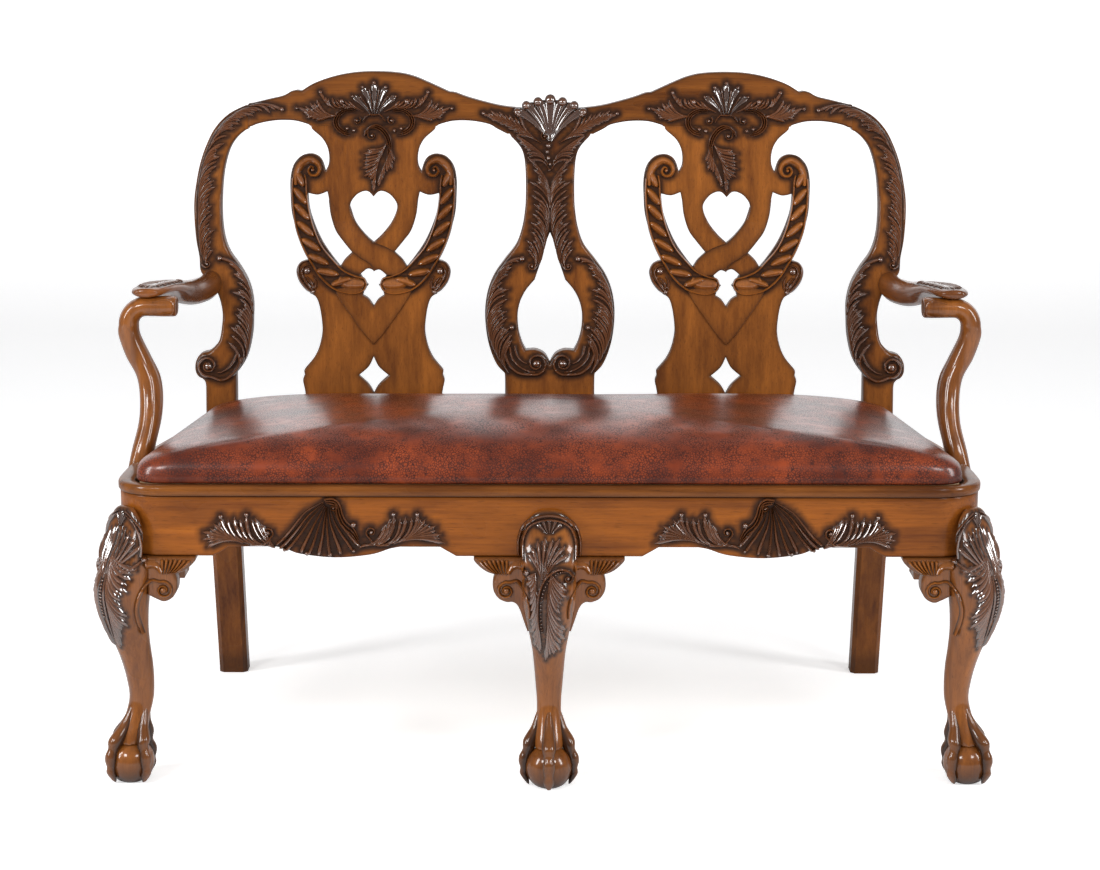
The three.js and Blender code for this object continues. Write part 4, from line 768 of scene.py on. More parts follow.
# %% Middle post
LYRE_HALF = 107.0
LYRE_THICKNESS = 30.0
lyre_runs = [
    [(0, 0.829), (-0.645, 0.829)],
    [(-0.47, 0.795), (-0.4, 0.764), (-0.375, 0.711), (-0.375, 0.65), (-0.39, 0.612),
     (-0.43, 0.568), (-0.52, 0.522), (-0.7, 0.479), (-0.86, 0.437), (-0.96, 0.391), (-1, 0.339),
     (-0.98, 0.279), (-0.92, 0.23), (-0.82, 0.188), (-0.7, 0.164)],
    [(-0.69, 0.141), (-0.69, 0.001)],
    [(0, 0.001)],
]
tear_runs = [
    [(0, 0.556), (-0.075, 0.521), (-0.15, 0.47), (-0.2, 0.443), (-0.235, 0.424)],
    [(-0.37, 0.395), (-0.46, 0.362), (-0.498, 0.325), (-0.485, 0.283), (-0.43, 0.248), (-0.37, 0.227)],
    [(-0.215, 0.228), (-0.08, 0.216), (0, 0.192)],
]
post_loops = [both_halves(outline(lyre_runs, LYRE_HALF)), both_halves(outline(tear_runs, LYRE_HALF))]
lyre = sawn(post_loops, back_face, lambda z: LYRE_THICKNESS, rounding=4)
squared(lyre, 2, NECK_TOP)
edge_glaze_and_shade(lyre, post_loops)
joints_kept_clear(lyre, [(2, NECK_TOP, -75, 75)])
lyre_piece = finished(lyre, "lyre_post", walnut_upright, stands_for="middle_post")
print("middle post:", len(lyre_piece.data.polygons), "faces")

# %% [markdown]
# ## Back posts
# Each back post is cut from one plank: a chamfered rear leg that kicks back, and above the seat a
# stile that scrolls out, narrows and sweeps over to the crest. The stile is sawn like the other
# boards. The leg is eight-sided, so a grid is bent round eight-cornered rings.

# %% A skin over rings


def skin(bm, rings, glaze_and_shade=None):
    """Bends a flat grid round closed rings of points, one row for each.

    Its last argument gives the glaze and painted shade as a value for each row and column."""
    around = len(rings[0])
    grid = bmesh.ops.create_grid(bm, x_segments=around, y_segments=len(rings) - 1, size=1)["verts"]
    layer = bm.verts.layers.float[GLAZE_AND_SHADE]
    for k, vert in enumerate(grid):
        row, column = divmod(k, around + 1)
        vert.co = rings[row][column % around]
        if glaze_and_shade:
            vert[layer] = glaze_and_shade(row, column % around)
    bmesh.ops.remove_doubles(bm, verts=grid, dist=1e-6)


def new_shape():
    bm = bmesh.new()
    bm.verts.layers.float.new(GLAZE_AND_SHADE)
    return bm


def oval(centre, axis_u, axis_v, half_u, half_v, sides=24, power=2.0):
    """A ring in millimetres about a centre. A power above 2 squares it up."""
    ring = []
    for k in range(sides):
        turn = 2 * math.pi * k / sides
        u = math.copysign(abs(math.cos(turn)) ** (2 / power), math.cos(turn)) * half_u
        v = math.copysign(abs(math.sin(turn)) ** (2 / power), math.sin(turn)) * half_v
        ring.append(place(*(centre + axis_u * u + axis_v * v)))
    return ring


# %% Back post
POST_INNER_X = 519.0
POST_WIDTH = 50.0
POST_JOINT_X = 497.0
POST_JOINT = (925, 1000)
STILE_FOOT = 365
REAR_LEG_TOP = 366
REAR_KICK = 78
# Shares of the post's width, outward from its inner line, and of the back's rise
stile_runs = [
    [(1.001, 0), (1.001, 0.123)],
    [(1.03, 0.137), (1.121, 0.146)],
    [(1.25, 0.152), (1.345, 0.167), (1.34, 0.191), (1.22, 0.211), (1.05, 0.219), (0.9, 0.222), (0.763, 0.23)],
    [(0.554, 0.253), (0.465, 0.292), (0.445, 0.332), (0.564, 0.376), (0.76, 0.406), (0.952, 0.423)],
    [(1.16, 0.446), (1.2, 0.486), (1.3, 0.533), (1.359, 0.594), (1.359, 0.645),
     (1.28, 0.696), (1.16, 0.745), (0.962, 0.794), (0.663, 0.843), (0.196, 0.883), (-0.44, 0.909)],
    [(-0.44, 0.843)],
    [(-0.072, 0.818), (0.196, 0.783), (0.385, 0.722), (0.46, 0.645), (0.445, 0.58),
     (0.355, 0.533), (0.176, 0.496), (-0.142, 0.458), (-0.42, 0.414), (-0.559, 0.365), (-0.559, 0.314),
     (-0.529, 0.269), (-0.41, 0.22), (-0.241, 0.187), (-0.003, 0.16)],
    [(-0.003, 0)],
]


def post_thickness(z):
    share = min(max((z - RAKE_START) / 115, 0), 1)
    return 41 - 11 * share


stile_line = outline(stile_runs, -POST_WIDTH, x=-POST_INNER_X)
stile_loop = stile_line + [Vector((stile_line[k].x, STILE_FOOT)) for k in (-1, 0)]
stile_front = lambda z: SEAT_DEPTH + max(z - RAKE_START, 0) * RAKE
post = sawn([stile_loop], stile_front, post_thickness, rounding=5)
squared(post, 0, -POST_JOINT_X, where=lambda x, z: z > POST_JOINT[0])
edge_glaze_and_shade(post, [stile_loop])
joints_kept_clear(post, [(0, -POST_JOINT_X, *POST_JOINT)])
leg_rows = through([(1, 0), (0.88, 0.09), (0.72, 0.25), (0.5, 0.48), (0.25, 0.74), (0, 1)], 3)
leg_rings = []
for rise, kick in leg_rows:
    chamfer = 7 if rise < 0.97 else 1
    width, thick = 48 + 2 * rise, 42 - rise
    x1 = -POST_INNER_X
    x0, y0 = x1 - width, SEAT_DEPTH + REAR_KICK * kick
    y1 = y0 + thick
    corners = [(x0 + chamfer, y0), (x1 - chamfer, y0), (x1, y0 + chamfer), (x1, y1 - chamfer),
               (x1 - chamfer, y1), (x0 + chamfer, y1), (x0, y1 - chamfer), (x0, y0 + chamfer)]
    leg_rings.append([place(x, y, rise * REAR_LEG_TOP) for x, y in corners])
# Painted shade: the two top rows of the rear leg, under the seat's rails, are darkened
skin(post, leg_rings, glaze_and_shade=lambda row, column: 0.6 * (row > len(leg_rings) - 3))
post_pieces = finished_pair(post, "back_post_board", walnut_upright, stands_for="back_post", sharp=30)
print("back posts:", [len(p.data.polygons) for p in post_pieces], "faces")

# %% [markdown]
# ## Seat rails and their moulding
# The front rail turns both front corners in one sweep. It is sawn flat at its full length, as a
# veneered rail is laid out, and then every point is carried to its place round the corner. The
# moulding and the side rails keep one section along their path, so rings of that section do.

# %% Path of the rails
HALF_SEAT = 640.0
CORNER_RADIUS = 70.0
CORNER_X = HALF_SEAT - CORNER_RADIUS
SIDE_TAPER = 68.0
SIDE_RUN = SEAT_DEPTH - CORNER_RADIUS
SIDE_RADIUS = (SIDE_TAPER ** 2 + SIDE_RUN ** 2) / (2 * SIDE_TAPER)
QUARTER = CORNER_RADIUS * math.pi / 2


def side_x(y, inset=0.0):
    """How far out the side rail's face lies at a depth y."""
    return HALF_SEAT - SIDE_RADIUS + math.sqrt((SIDE_RADIUS - inset) ** 2 - (y - CORNER_RADIUS) ** 2)


def rail_place(along, inset):
    """The plan place that lies so far along the rail from the middle, and so far in from its face."""
    hand = math.copysign(1, along)
    run = abs(along)
    if run <= CORNER_X:
        return along, inset
    radius = CORNER_RADIUS - inset
    if run <= CORNER_X + QUARTER:
        turn = (run - CORNER_X) / CORNER_RADIUS
        return hand * (CORNER_X + radius * math.sin(turn)), CORNER_RADIUS - radius * math.cos(turn)
    y = CORNER_RADIUS + run - CORNER_X - QUARTER
    return hand * side_x(y, inset), y


# %% Front rail
RAIL_BOTTOM = 349.0
RAIL_LENGTH = CORNER_X + QUARTER + 25
RAIL_THICKNESS = 45.0

# The lower edge of the rail's left half, in millimetres
rail_edge = [
    [(-RAIL_LENGTH, 349), (-497, 349)],
    [(-485, 355), (-473, 363)],
    [(-404, 363)],
    [(-389, 360), (-367, 352), (-316, 346.5), (-264, 351), (-235, 360), (-220, 363)],
    [(-161, 363)],
    [(-151, 357), (-137, 349)],
    [(0, 349)],
]
rail_half = [Vector((0, RAIL_TOP)), Vector((-RAIL_LENGTH, RAIL_TOP))] + outline(rail_edge, 1, height=1, z=0)
rail_loop = both_halves(rail_half)
rail = sawn([rail_loop], lambda z: 0, lambda z: RAIL_THICKNESS, rounding=2.5)
edge_glaze_and_shade(rail, [rail_loop], strength=0.5)
for vert in rail.verts:
    x, y = rail_place(vert.co.x / MM, (vert.co.y - RAIL_FACE) / MM)
    vert.co = place(x, y, vert.co.z / MM)
front_rail = finished(rail, "front_rail", walnut_rail, stands_for="rail_front")
print("front rail:", len(front_rail.data.polygons), "faces")

# %% Side rails
SIDE_START = 95.3
SIDE_BOTTOM, SIDE_HEIGHT = 358, 81
SIDE_STEPS = 30
REAR_JOINT_Y = SEAT_DEPTH - JOINT_GAP


def section(width, height, rounding, steps=3):
    """A rounded rectangle from 0 to its width and from 0 to its height, in millimetres."""
    points = []
    for corner_x, corner_z, start in ((width, height, 0), (0, height, 90), (0, 0, 180), (width, 0, 270)):
        centre_x = corner_x + (rounding if corner_x == 0 else -rounding)
        centre_z = corner_z + (rounding if corner_z == 0 else -rounding)
        for k in range(steps + 1):
            turn = math.radians(start + 90 * k / steps)
            points.append((centre_x + rounding * math.cos(turn), centre_z + rounding * math.sin(turn)))
    return points


side = new_shape()
side_rings = []
for k in range(SIDE_STEPS + 1):
    y = SIDE_START + (REAR_JOINT_Y - SIDE_START) * k / SIDE_STEPS
    cross_section = section(RAIL_THICKNESS, SIDE_HEIGHT, 2.5)
    side_rings.append([place(-side_x(y, inset), y, SIDE_BOTTOM + rise) for inset, rise in cross_section])
# Glaze and painted shade: the side rail is darker toward its rounded edges than on its faces
skin(side, side_rings, glaze_and_shade=lambda row, column: 0.35 if column % 4 else 0.1)
side_pieces = finished_pair(side, "side_rail", walnut_side, stands_for="rail_side")
print("side rails:", len(side_pieces[0].data.polygons), "faces each")

# %% Moulding
REBATE_TOP = RAIL_TOP + JOINT_GAP
PAD_FRONT_Y, PAD_REAR_Y = 18.0, 478.0
PAD_FRONT_HALF, PAD_REAR_HALF = 620.0, 559.0
PAD_CORNER = 54.0
PAD_PLAY = 2
MOULDING_PROUD = 3
MOULDING_JOINT, SIDE_MOULDING_START = 164.7, 245.3
thumb = [(3, 0), (1.1, 0.5), (0.2, 2), (0, 4.5), (0, 9), (0.5, 11.8), (1.8, 13.9), (4.5, 15)]


def pad_side_x(y):
    return PAD_FRONT_HALF + (PAD_REAR_HALF - PAD_FRONT_HALF) * (y - PAD_FRONT_Y) / (PAD_REAR_Y - PAD_FRONT_Y)


def moulding_ring(outer, inner):
    """The thumb section between a place on the rail's outside and one on the rebate."""
    outer, inner = Vector(outer), Vector(inner)
    width = (outer - inner).length
    ring = []
    for inset, rise in thumb:
        at = outer.lerp(inner, inset / width)
        ring.append(place(at.x, at.y, REBATE_TOP + rise))
    for inset, rise in ((1.5, 15), (0.3, 14.2), (0, 13), (0, 0)):
        at = inner.lerp(outer, inset / width)
        ring.append(place(at.x, at.y, REBATE_TOP + rise))
    return ring


def front_moulding_rings():
    """Round the front and both corners, as far as the arms' supports."""
    rebate_y = PAD_FRONT_Y - PAD_PLAY
    rebate_side = lambda y: -(pad_side_x(y) + PAD_PLAY)
    pairs = []
    for k in range(8, 0, -1):
        y = CORNER_RADIUS + (MOULDING_JOINT - CORNER_RADIUS) * k / 8
        pairs.append(((-side_x(y, -MOULDING_PROUD), y), (rebate_side(y), y)))
    a = Vector((rebate_side(rebate_y) + PAD_CORNER, rebate_y))
    b = Vector((rebate_side(rebate_y), rebate_y))
    c = Vector((rebate_side(rebate_y + PAD_CORNER), rebate_y + PAD_CORNER))
    radius = CORNER_RADIUS + MOULDING_PROUD
    for k in range(12, 0, -1):
        t = k / 12
        turn = math.pi / 2 * t
        outer = (-CORNER_X - radius * math.sin(turn), CORNER_RADIUS - radius * math.cos(turn))
        pairs.append((outer, a.lerp(b, t).lerp(b.lerp(c, t), t)))
    for k in range(40, -1, -1):
        x = -CORNER_X * k / 40
        inner_x = x * (pad_side_x(rebate_y) + PAD_PLAY - PAD_CORNER) / CORNER_X
        pairs.append(((x, -MOULDING_PROUD), (inner_x, rebate_y)))
    other = [((-o[0], o[1]), (-i[0], i[1])) for o, i in reversed(pairs[:-1])]
    return [moulding_ring(o, i) for o, i in pairs + other]


# Painted shadow: the moulding darkens toward its foot, in the line where it sits on the rail, and toward the
# rebate under the cushion's edge
shaded_foot_and_rebate = lambda row, column: (0.9, 0.6, 0.25, 0.05, 0, 0, 0.1, 0.25, 0.4, 0.7, 0.9, 0.9)[column]
moulding = new_shape()
skin(moulding, front_moulding_rings(), glaze_and_shade=shaded_foot_and_rebate)
finished(moulding, "moulding_front", walnut_level, stands_for="seat_moulding_front")
side_moulding = new_shape()
side_rows = []
for k in range(17):
    y = SIDE_MOULDING_START + (REAR_JOINT_Y - SIDE_MOULDING_START) * k / 16
    side_rows.append(moulding_ring((-side_x(y, -MOULDING_PROUD), y), (-(pad_side_x(y) + PAD_PLAY), y)))
skin(side_moulding, side_rows, glaze_and_shade=shaded_foot_and_rebate)
finished_pair(side_moulding, "moulding_side", walnut_side, stands_for="seat_moulding_side")
print("moulding in three lengths")

# %% [markdown]
# ## Carving
# Acanthus, shells and scrolls are all cut stroke by stroke with gouges. A stroke here is a skin over
# arched rings that follow a line drawn on the wood. It swells like a leaf and ends in a round tip, or
# runs even like a band, and its foot carries the glaze and painted shade of the recess. A chart lifts the
# flat drawing onto the back, the rail or a leg, so all carvings are drawn as flat lines in millimetres.

# %% Charts and the shapes of strokes


def on_back(u, v, out):
    return place(u, back_face(v) - out, v)


def on_rail(u, v, out):
    return place(u, -out, v)


def leaf(t):
    """Narrow at its root, widest near the end, with a round tip."""
    tip = max((t - 0.8) / 0.2, 0)
    return (0.4 + 0.6 * min(t / 0.75, 1)) * math.sqrt(max(1 - tip * tip, 0))


def blade(t):
    """Swells in the middle and ends in a point."""
    return math.sin(math.pi * min(max(0.12 + 0.88 * t, 0), 1)) ** 0.7 if t < 1 else 0.0


def band(t):
    """Even, and a little narrower toward its end."""
    return 1 - 0.4 * t


def flute(t):
    """Widens all the way, with a round end."""
    tip = max((t - 0.9) / 0.1, 0)
    return (0.18 + 0.82 * t) * math.sqrt(max(1 - tip * tip, 0))


def even(t):
    return 1.0


# %% A gouge stroke


def run_along(line):
    """How far each point of a line lies from its start, along it."""
    run = [0.0]
    for a, b in zip(line, line[1:]):
        run.append(run[-1] + (b - a).length)
    return run


def stroke(bm, line, half, rise, surface, shape=leaf, hollow=0.0, sunk=1.2, arch=9, dark=1.0):
    """An arched ridge along a flat line. hollow dips its middle, which leaves two ridges.

    Without a half width, the line's points carry their own as a third value."""
    widths = [point[2] for point in line] if half is None else [half] * len(line)
    line = [Vector((point[0], point[1])) for point in line]
    run = run_along(line)
    turns = [math.pi * j / (arch - 1) for j in range(arch)]
    crest = []
    for turn in turns:
        dip = hollow * math.exp(-(math.cos(turn) / 0.5) ** 2)
        crest.append((1 - abs(math.cos(turn)) ** 1.5) * (1 - dip))
    rings = []
    for k, point in enumerate(line):
        size = max(shape(run[k] / run[-1]), 0.02)
        ahead = line[min(k + 1, len(line) - 1)] - line[max(k - 1, 0)]
        across = Vector((-ahead.y, ahead.x)).normalized() * widths[k] * size
        high = rise * (0.45 + 0.55 * size)
        if shape(run[k] / run[-1]) < 0.02:
            high = 0.1
        ring = [surface(point.x + across.x, point.y + across.y, -sunk)]
        for turn, lift in zip(turns, crest):
            side = across * math.cos(turn)
            ring.append(surface(point.x + side.x, point.y + side.y, high * lift))
        ring.append(surface(point.x - across.x, point.y - across.y, -sunk))
        rings.append(ring)
    # Glaze and painted shade: full at the stroke's foot, in the recess beside it, none on its ridge; dark
    # scales it
    tone = [1.0] + [dark * (1 - lift) for lift in crest] + [1.0]
    skin(bm, rings, glaze_and_shade=lambda row, column: tone[column])


def reed(bm, knots, half, rise, surface, **more):
    """A stroke along a smooth line through a few knots."""
    stroke(bm, through(knots, 5), half, rise, surface, **more)


# %% Beads, scrolls and sprays of leaves


def bead(bm, at, radius, surface, rise=None):
    """A round button, half sunk in the wood."""
    layer = bm.verts.layers.float[GLAZE_AND_SHADE]
    rise = radius if rise is None else rise
    for vert in bmesh.ops.create_uvsphere(bm, u_segments=14, v_segments=8, radius=1)["verts"]:
        x, y, z = vert.co
        # Glaze and painted shade: darker toward the bead's foot, where it meets the wood, lightest on its top
        vert[layer] = 0.9 - 0.8 * max(z, 0)
        vert.co = surface(at[0] + x * radius, at[1] + y * radius, z * rise)


def beads(bm, spots, surface, rise):
    """A bead for each place with its radius."""
    for x, y, radius in spots:
        bead(bm, (x, y), radius, surface, rise=rise)


def spiral(eye, radius, turns, start, hand=1, inner=0.3):
    """The line of a scroll that winds in to its eye from a start angle in degrees."""
    count = max(int(turns * 14), 4)
    line = []
    for k in range(count + 1):
        share = k / count
        angle = math.radians(start + hand * 360 * turns * share)
        reach = radius * (1 - (1 - inner) * share ** 0.85)
        line.append(Vector((eye[0] + reach * math.cos(angle), eye[1] + reach * math.sin(angle))))
    return line


def volute(bm, eye, radius, turns, start, hand, surface, half=None, rise=4.0, lead_in=()):
    """A scroll with a button in its eye. lead_in is the line that runs into it."""
    half = radius * 0.24 if half is None else half
    line = spiral(eye, radius - half, turns, start, hand)
    if lead_in:
        line = through([*lead_in, line[0], line[1]], 5)[:-1] + line[1:]
    stroke(bm, line, half, rise, surface, shape=band)
    bead(bm, eye, radius * 0.3, surface, rise=rise * 0.95)


def bend(a, b, c, count=9):
    """Points of the curve that leaves a toward b and arrives at c."""
    a, b, c = Vector(a), Vector(b), Vector(c)
    return [a.lerp(b, k / count).lerp(b.lerp(c, k / count), k / count) for k in range(count + 1)]


SHORT_BARB = 0.88


def plume(bm, stem, tips, surface, half=3.6, rise=4.6, lead=40.0, between=1):
    """Barbs that run along a stem and then out to their tips.

    lead is how far below its tip each barb starts. Shorter barbs stand between the given tips."""
    line = through(stem, 12)
    run = run_along(line)

    def at(distance):
        distance = min(max(distance, 0), run[-1])
        k = 0
        while k < len(run) - 2 and run[k + 1] < distance:
            k += 1
        return line[k].lerp(line[k + 1], (distance - run[k]) / (run[k + 1] - run[k]))

    tips = [Vector(tip) for tip in tips]
    marks = [(tip, 1.0) for tip in tips]
    for a, b in zip(tips, tips[1:]):
        for j in range(1, between + 1):
            marks.append((a.lerp(b, j / (between + 1)), SHORT_BARB))
    placed = []
    for tip, length in marks:
        near = min(range(len(line)), key=lambda k: (line[k] - tip).length)
        placed.append((run[near], tip, length))
    for foot, tip, length in sorted(placed, key=lambda mark: (-mark[0], mark[2])):
        root, control = at(foot - lead), at(foot - lead * 0.35)
        end = control.lerp(tip, length)
        stroke(bm, bend(root, control, end), half * length, rise * length, surface)


def mirrored_points(points, x=0.0):
    return [(2 * x - p[0], *p[1:]) for p in points]


BOTH_HANDS = ((1, list), (-1, mirrored_points))


# %% [markdown]
# ## Cabriole legs
# A cabriole leg bulges at the knee, thins to the ankle and ends in a claw that grips a ball. The leg
# is a skin over oval rings that follow its S. The cartouche, the shield on top of the knee, is a second
# skin. A voxel remesh melts the two into one body, as if they were carved from one block, and then
# a few passes of smoothing take the steps out. The ball and its four talons are added as they are.

# %% Leg measures
KNEE_HALF = 40.0
leg_rows_shares = [
    (0.17, 0.3, 0.54, 0.54), (0.215, 0.15, 0.54, 0.54), (0.275, -0.04, 0.47, 0.47),
    (0.355, -0.26, 0.46, 0.46), (0.436, -0.24, 0.51, 0.51), (0.516, -0.125, 0.565, 0.575),
    (0.593, 0.05, 0.625, 0.65), (0.673, 0.25, 0.74, 0.775), (0.751, 0.38, 0.865, 0.9),
    (0.817, 0.42, 0.975, 0.975), (0.874, 0.38, 1, 1), (0.946, 0.2, 1, 0.95), (1, 0.05, 1, 0.9),
]
cartouche_shares = [
    (-0.3, 1.1, 1), (0, 0.93, 1.04), (0.25, 0.66, 1.06), (0.5, 0.48, 1), (0.75, 0.38, 0.85),
    (0.93, 0.32, 0.58), (1, 0.26, 0.3),
]
talon_shares = [
    (3.3, 0.36, 0.4), (2.8, 0.46, 0.8), (2.4, 0.56, 1.05), (2.05, 0.73, 1.3), (1.8, 0.86, 1.3),
    (1.5, 0.94, 0.95), (1.2, 1.04, 1.15), (0.95, 1.08, 1.1), (0.7, 1.06, 0.85), (0.45, 1.05, 1.0),
    (0.25, 0.98, 0.75), (0.08, 0.9, 0.3),
]
FOOT_RADIUS = 35.0
FOOT_FLAT = 19.0
BALL_Z = math.sqrt(FOOT_RADIUS ** 2 - FOOT_FLAT ** 2)
CARTOUCHE_HEIGHT = 72
TALON_HALF = 8
UP = Vector((0, 0, 1))
ACROSS = Vector((1, 0, 0))
BACKWARD = Vector((0, 1, 0))


# %% Melting bodies into one


def smoothed(bm, verts, passes, flat=True):
    """Draws each point toward its neighbours, or only its height where the plan is to stay."""
    for _ in range(passes):
        bmesh.ops.smooth_vert(bm, verts=verts, factor=0.5, use_axis_x=flat, use_axis_y=flat, use_axis_z=True)


def remeshed(bm, voxel, passes):
    """Melts overlapping bodies into one skin, and smooths it."""
    mesh = bpy.data.meshes.new("melted")
    bm.to_mesh(mesh)
    holder = bpy.data.objects.new("melted", mesh)
    bpy.context.scene.collection.objects.link(holder)
    melt = holder.modifiers.new("melt", "REMESH")
    melt.mode = "VOXEL"
    melt.voxel_size = voxel * MM
    bpy.context.view_layer.update()
    ready = holder.evaluated_get(bpy.context.evaluated_depsgraph_get())
    skin_mesh = bpy.data.meshes.new_from_object(ready)
    bpy.data.objects.remove(holder)
    made = bmesh.new()
    made.from_mesh(skin_mesh)
    made.verts.layers.float.new(GLAZE_AND_SHADE)
    bpy.data.meshes.remove(mesh)
    smoothed(made, made.verts, passes)
    return made


# %% Leg body
VOXEL, MELT_PASSES = 2.2, 5


def leg_reach(z, rows=leg_rows_shares):
    share = z / RAIL_BOTTOM
    k = 0
    while k < len(rows) - 2 and rows[k + 1][0] < share:
        k += 1
    t = min(max((share - rows[k][0]) / (rows[k + 1][0] - rows[k][0]), 0), 1)
    return (rows[k][1] + (rows[k + 1][1] - rows[k][1]) * t) * KNEE_HALF


def cabriole(face_x, face_y, outward):
    across = Vector((-outward.y, outward.x, 0))
    at = lambda reach, z: Vector((face_x, face_y, z)) + outward * reach
    body = new_shape()
    rings = []
    for rise, reach, wide, deep in through(leg_rows_shares, 4):
        centre = at(reach * KNEE_HALF, rise * (RAIL_BOTTOM - JOINT_GAP))
        rings.append(oval(centre, across, outward, wide * KNEE_HALF, deep * KNEE_HALF, 36))
    skin(body, rings)
    shield_rings = []
    for rise, reach, wide in through(cartouche_shares, 4):
        half = reach * KNEE_HALF / 2
        centre = at(half, RAIL_BOTTOM + rise * CARTOUCHE_HEIGHT)
        shield_rings.append(oval(centre, across, outward, wide * KNEE_HALF, half, 36, 2.4))
    skin(body, shield_rings)
    bmesh.ops.holes_fill(body, edges=[e for e in body.edges if e.is_boundary], sides=0)
    bmesh.ops.recalc_face_normals(body, faces=body.faces)
    melted = remeshed(body, VOXEL, MELT_PASSES)
    body.free()
    return melted


# %% Ball and claw


def claw_and_ball(bm, face_x, face_y, outward):
    """The ball, and four knuckled talons that grip it."""
    middle = Vector((face_x, face_y, BALL_Z)) + outward * leg_rows_shares[0][1] * KNEE_HALF
    ball = bmesh.ops.create_uvsphere(bm, u_segments=32, v_segments=18, radius=FOOT_RADIUS * MM)["verts"]
    bmesh.ops.translate(bm, verts=ball, vec=place(*middle))
    layer = bm.verts.layers.float[GLAZE_AND_SHADE]
    # Painted shade: the ball darkens toward the floor
    for vert in ball:
        vert.co.z = max(vert.co.z, 0)
        vert[layer] = 0.95 * max(1 - vert.co.z / (1.4 * FOOT_RADIUS * MM), 0)
    for k in range(4):
        to = Matrix.Rotation(math.pi / 2 * k, 3, "Z") @ outward
        side_way = Vector((-to.y, to.x, 0))
        tilted = Vector((to.x, to.y, 0.6)).normalized()
        rings = []
        for rise, reach, thick in through(talon_shares, 4):
            z = rise * FOOT_RADIUS
            above_foot = max(z, leg_rows_shares[0][0] * RAIL_BOTTOM)
            ankle = Vector((face_x, face_y, z)) + outward * leg_reach(above_foot)
            half = thick * TALON_HALF
            ring = oval(ankle + to * reach * FOOT_RADIUS, side_way, tilted, half, half, 14)
            for point in ring:
                point.z = max(point.z, 0)
            rings.append(ring)
        # Painted shade: each talon is darker on its side toward the ball and lighter on its upper outer side
        skin(bm, rings, glaze_and_shade=lambda row, column: 0.95 - 0.6 * max(math.sin(2 * math.pi * column / 14), 0))
    bmesh.ops.holes_fill(bm, edges=[e for e in bm.edges if e.is_boundary], sides=0)


def block(bm, x0, x1, y0, y1, z0, z1, rounding=1.5):
    cube = bmesh.ops.create_cube(bm, size=1)["verts"]
    size = Vector((x1 - x0, y1 - y0, z1 - z0)) * MM
    bmesh.ops.scale(bm, vec=size, verts=cube)
    bmesh.ops.translate(bm, vec=place((x0 + x1) / 2, (y0 + y1) / 2, (z0 + z1) / 2), verts=cube)
    edges = list({e for v in cube for e in v.link_edges})
    bmesh.ops.bevel(
        bm, geom=edges, offset=rounding * MM, affect="EDGES", segments=2, profile=0.5, material=-1
    )


# %% Legs in place
DIAGONAL = Vector((-1, -1, 0)).normalized()
CORNER_FACE = (-CORNER_X + CORNER_RADIUS * DIAGONAL.x, CORNER_RADIUS + CORNER_RADIUS * DIAGONAL.y)
FORWARD = Vector((0, -1, 0))
STUB, DOWEL = (303, 348.7), (303, 432)
CORNER_STUB_X, MIDDLE_STUB_HALF = 594, 38

corner_leg = cabriole(*CORNER_FACE, DIAGONAL)
corner_tree = BVHTree.FromBMesh(corner_leg)
claw_and_ball(corner_leg, *CORNER_FACE, DIAGONAL)
block(corner_leg, -CORNER_STUB_X - 40, -CORNER_STUB_X, 6, 46, *STUB)
block(corner_leg, -595, -545, 45.3, 95, *DOWEL)
corner_legs = finished_pair(corner_leg, "cabriole_leg", walnut_round, stands_for="leg_front", sharp=60)

middle_leg = cabriole(0, 0, FORWARD)
middle_tree = BVHTree.FromBMesh(middle_leg)
claw_and_ball(middle_leg, 0, 0, FORWARD)
block(middle_leg, -MIDDLE_STUB_HALF, MIDDLE_STUB_HALF, 0, SIDE_START, *STUB)
block(middle_leg, -25, 25, 45.3, SIDE_START, *DOWEL)
middle_leg_piece = finished(
    middle_leg, "cabriole_leg_middle", walnut_round, stands_for="leg_front_middle", sharp=60
)
print("legs:", len(middle_leg_piece.data.polygons), "faces each")

# %% [markdown]
# ## Knee carving
# A leaf falls over each knee from a shell at its top. On the corner legs it is laid out by angle
# round the leg, and on the middle leg it is drawn straight on from the front. In both cases a ray that
# is cast at the finished leg finds the wood's surface, and the strokes rise from there.

# %% Charts of the legs


def round_leg(u, v, out, spread=36.0):
    """Places u mm round the corner leg's knee, from its outermost line."""
    turn = u / spread
    axis = Vector((*CORNER_FACE, v)) + DIAGONAL * (leg_reach(min(v, RAIL_BOTTOM)) - 12)
    to = Matrix.Rotation(turn, 3, "Z") @ DIAGONAL
    hit = corner_tree.ray_cast(place(*(axis + to * FAR_AWAY)), -to)[0]
    return (hit or place(*(axis + to * 20))) + to * out * MM


def front_of_leg(u, v, out):
    hit = middle_tree.ray_cast(place(u, -FAR_AWAY, v), BACKWARD)[0]
    if hit is None or (hit.y - RAIL_FACE) / MM > 2:
        return place(u, -out, v)
    return hit - BACKWARD * out * MM


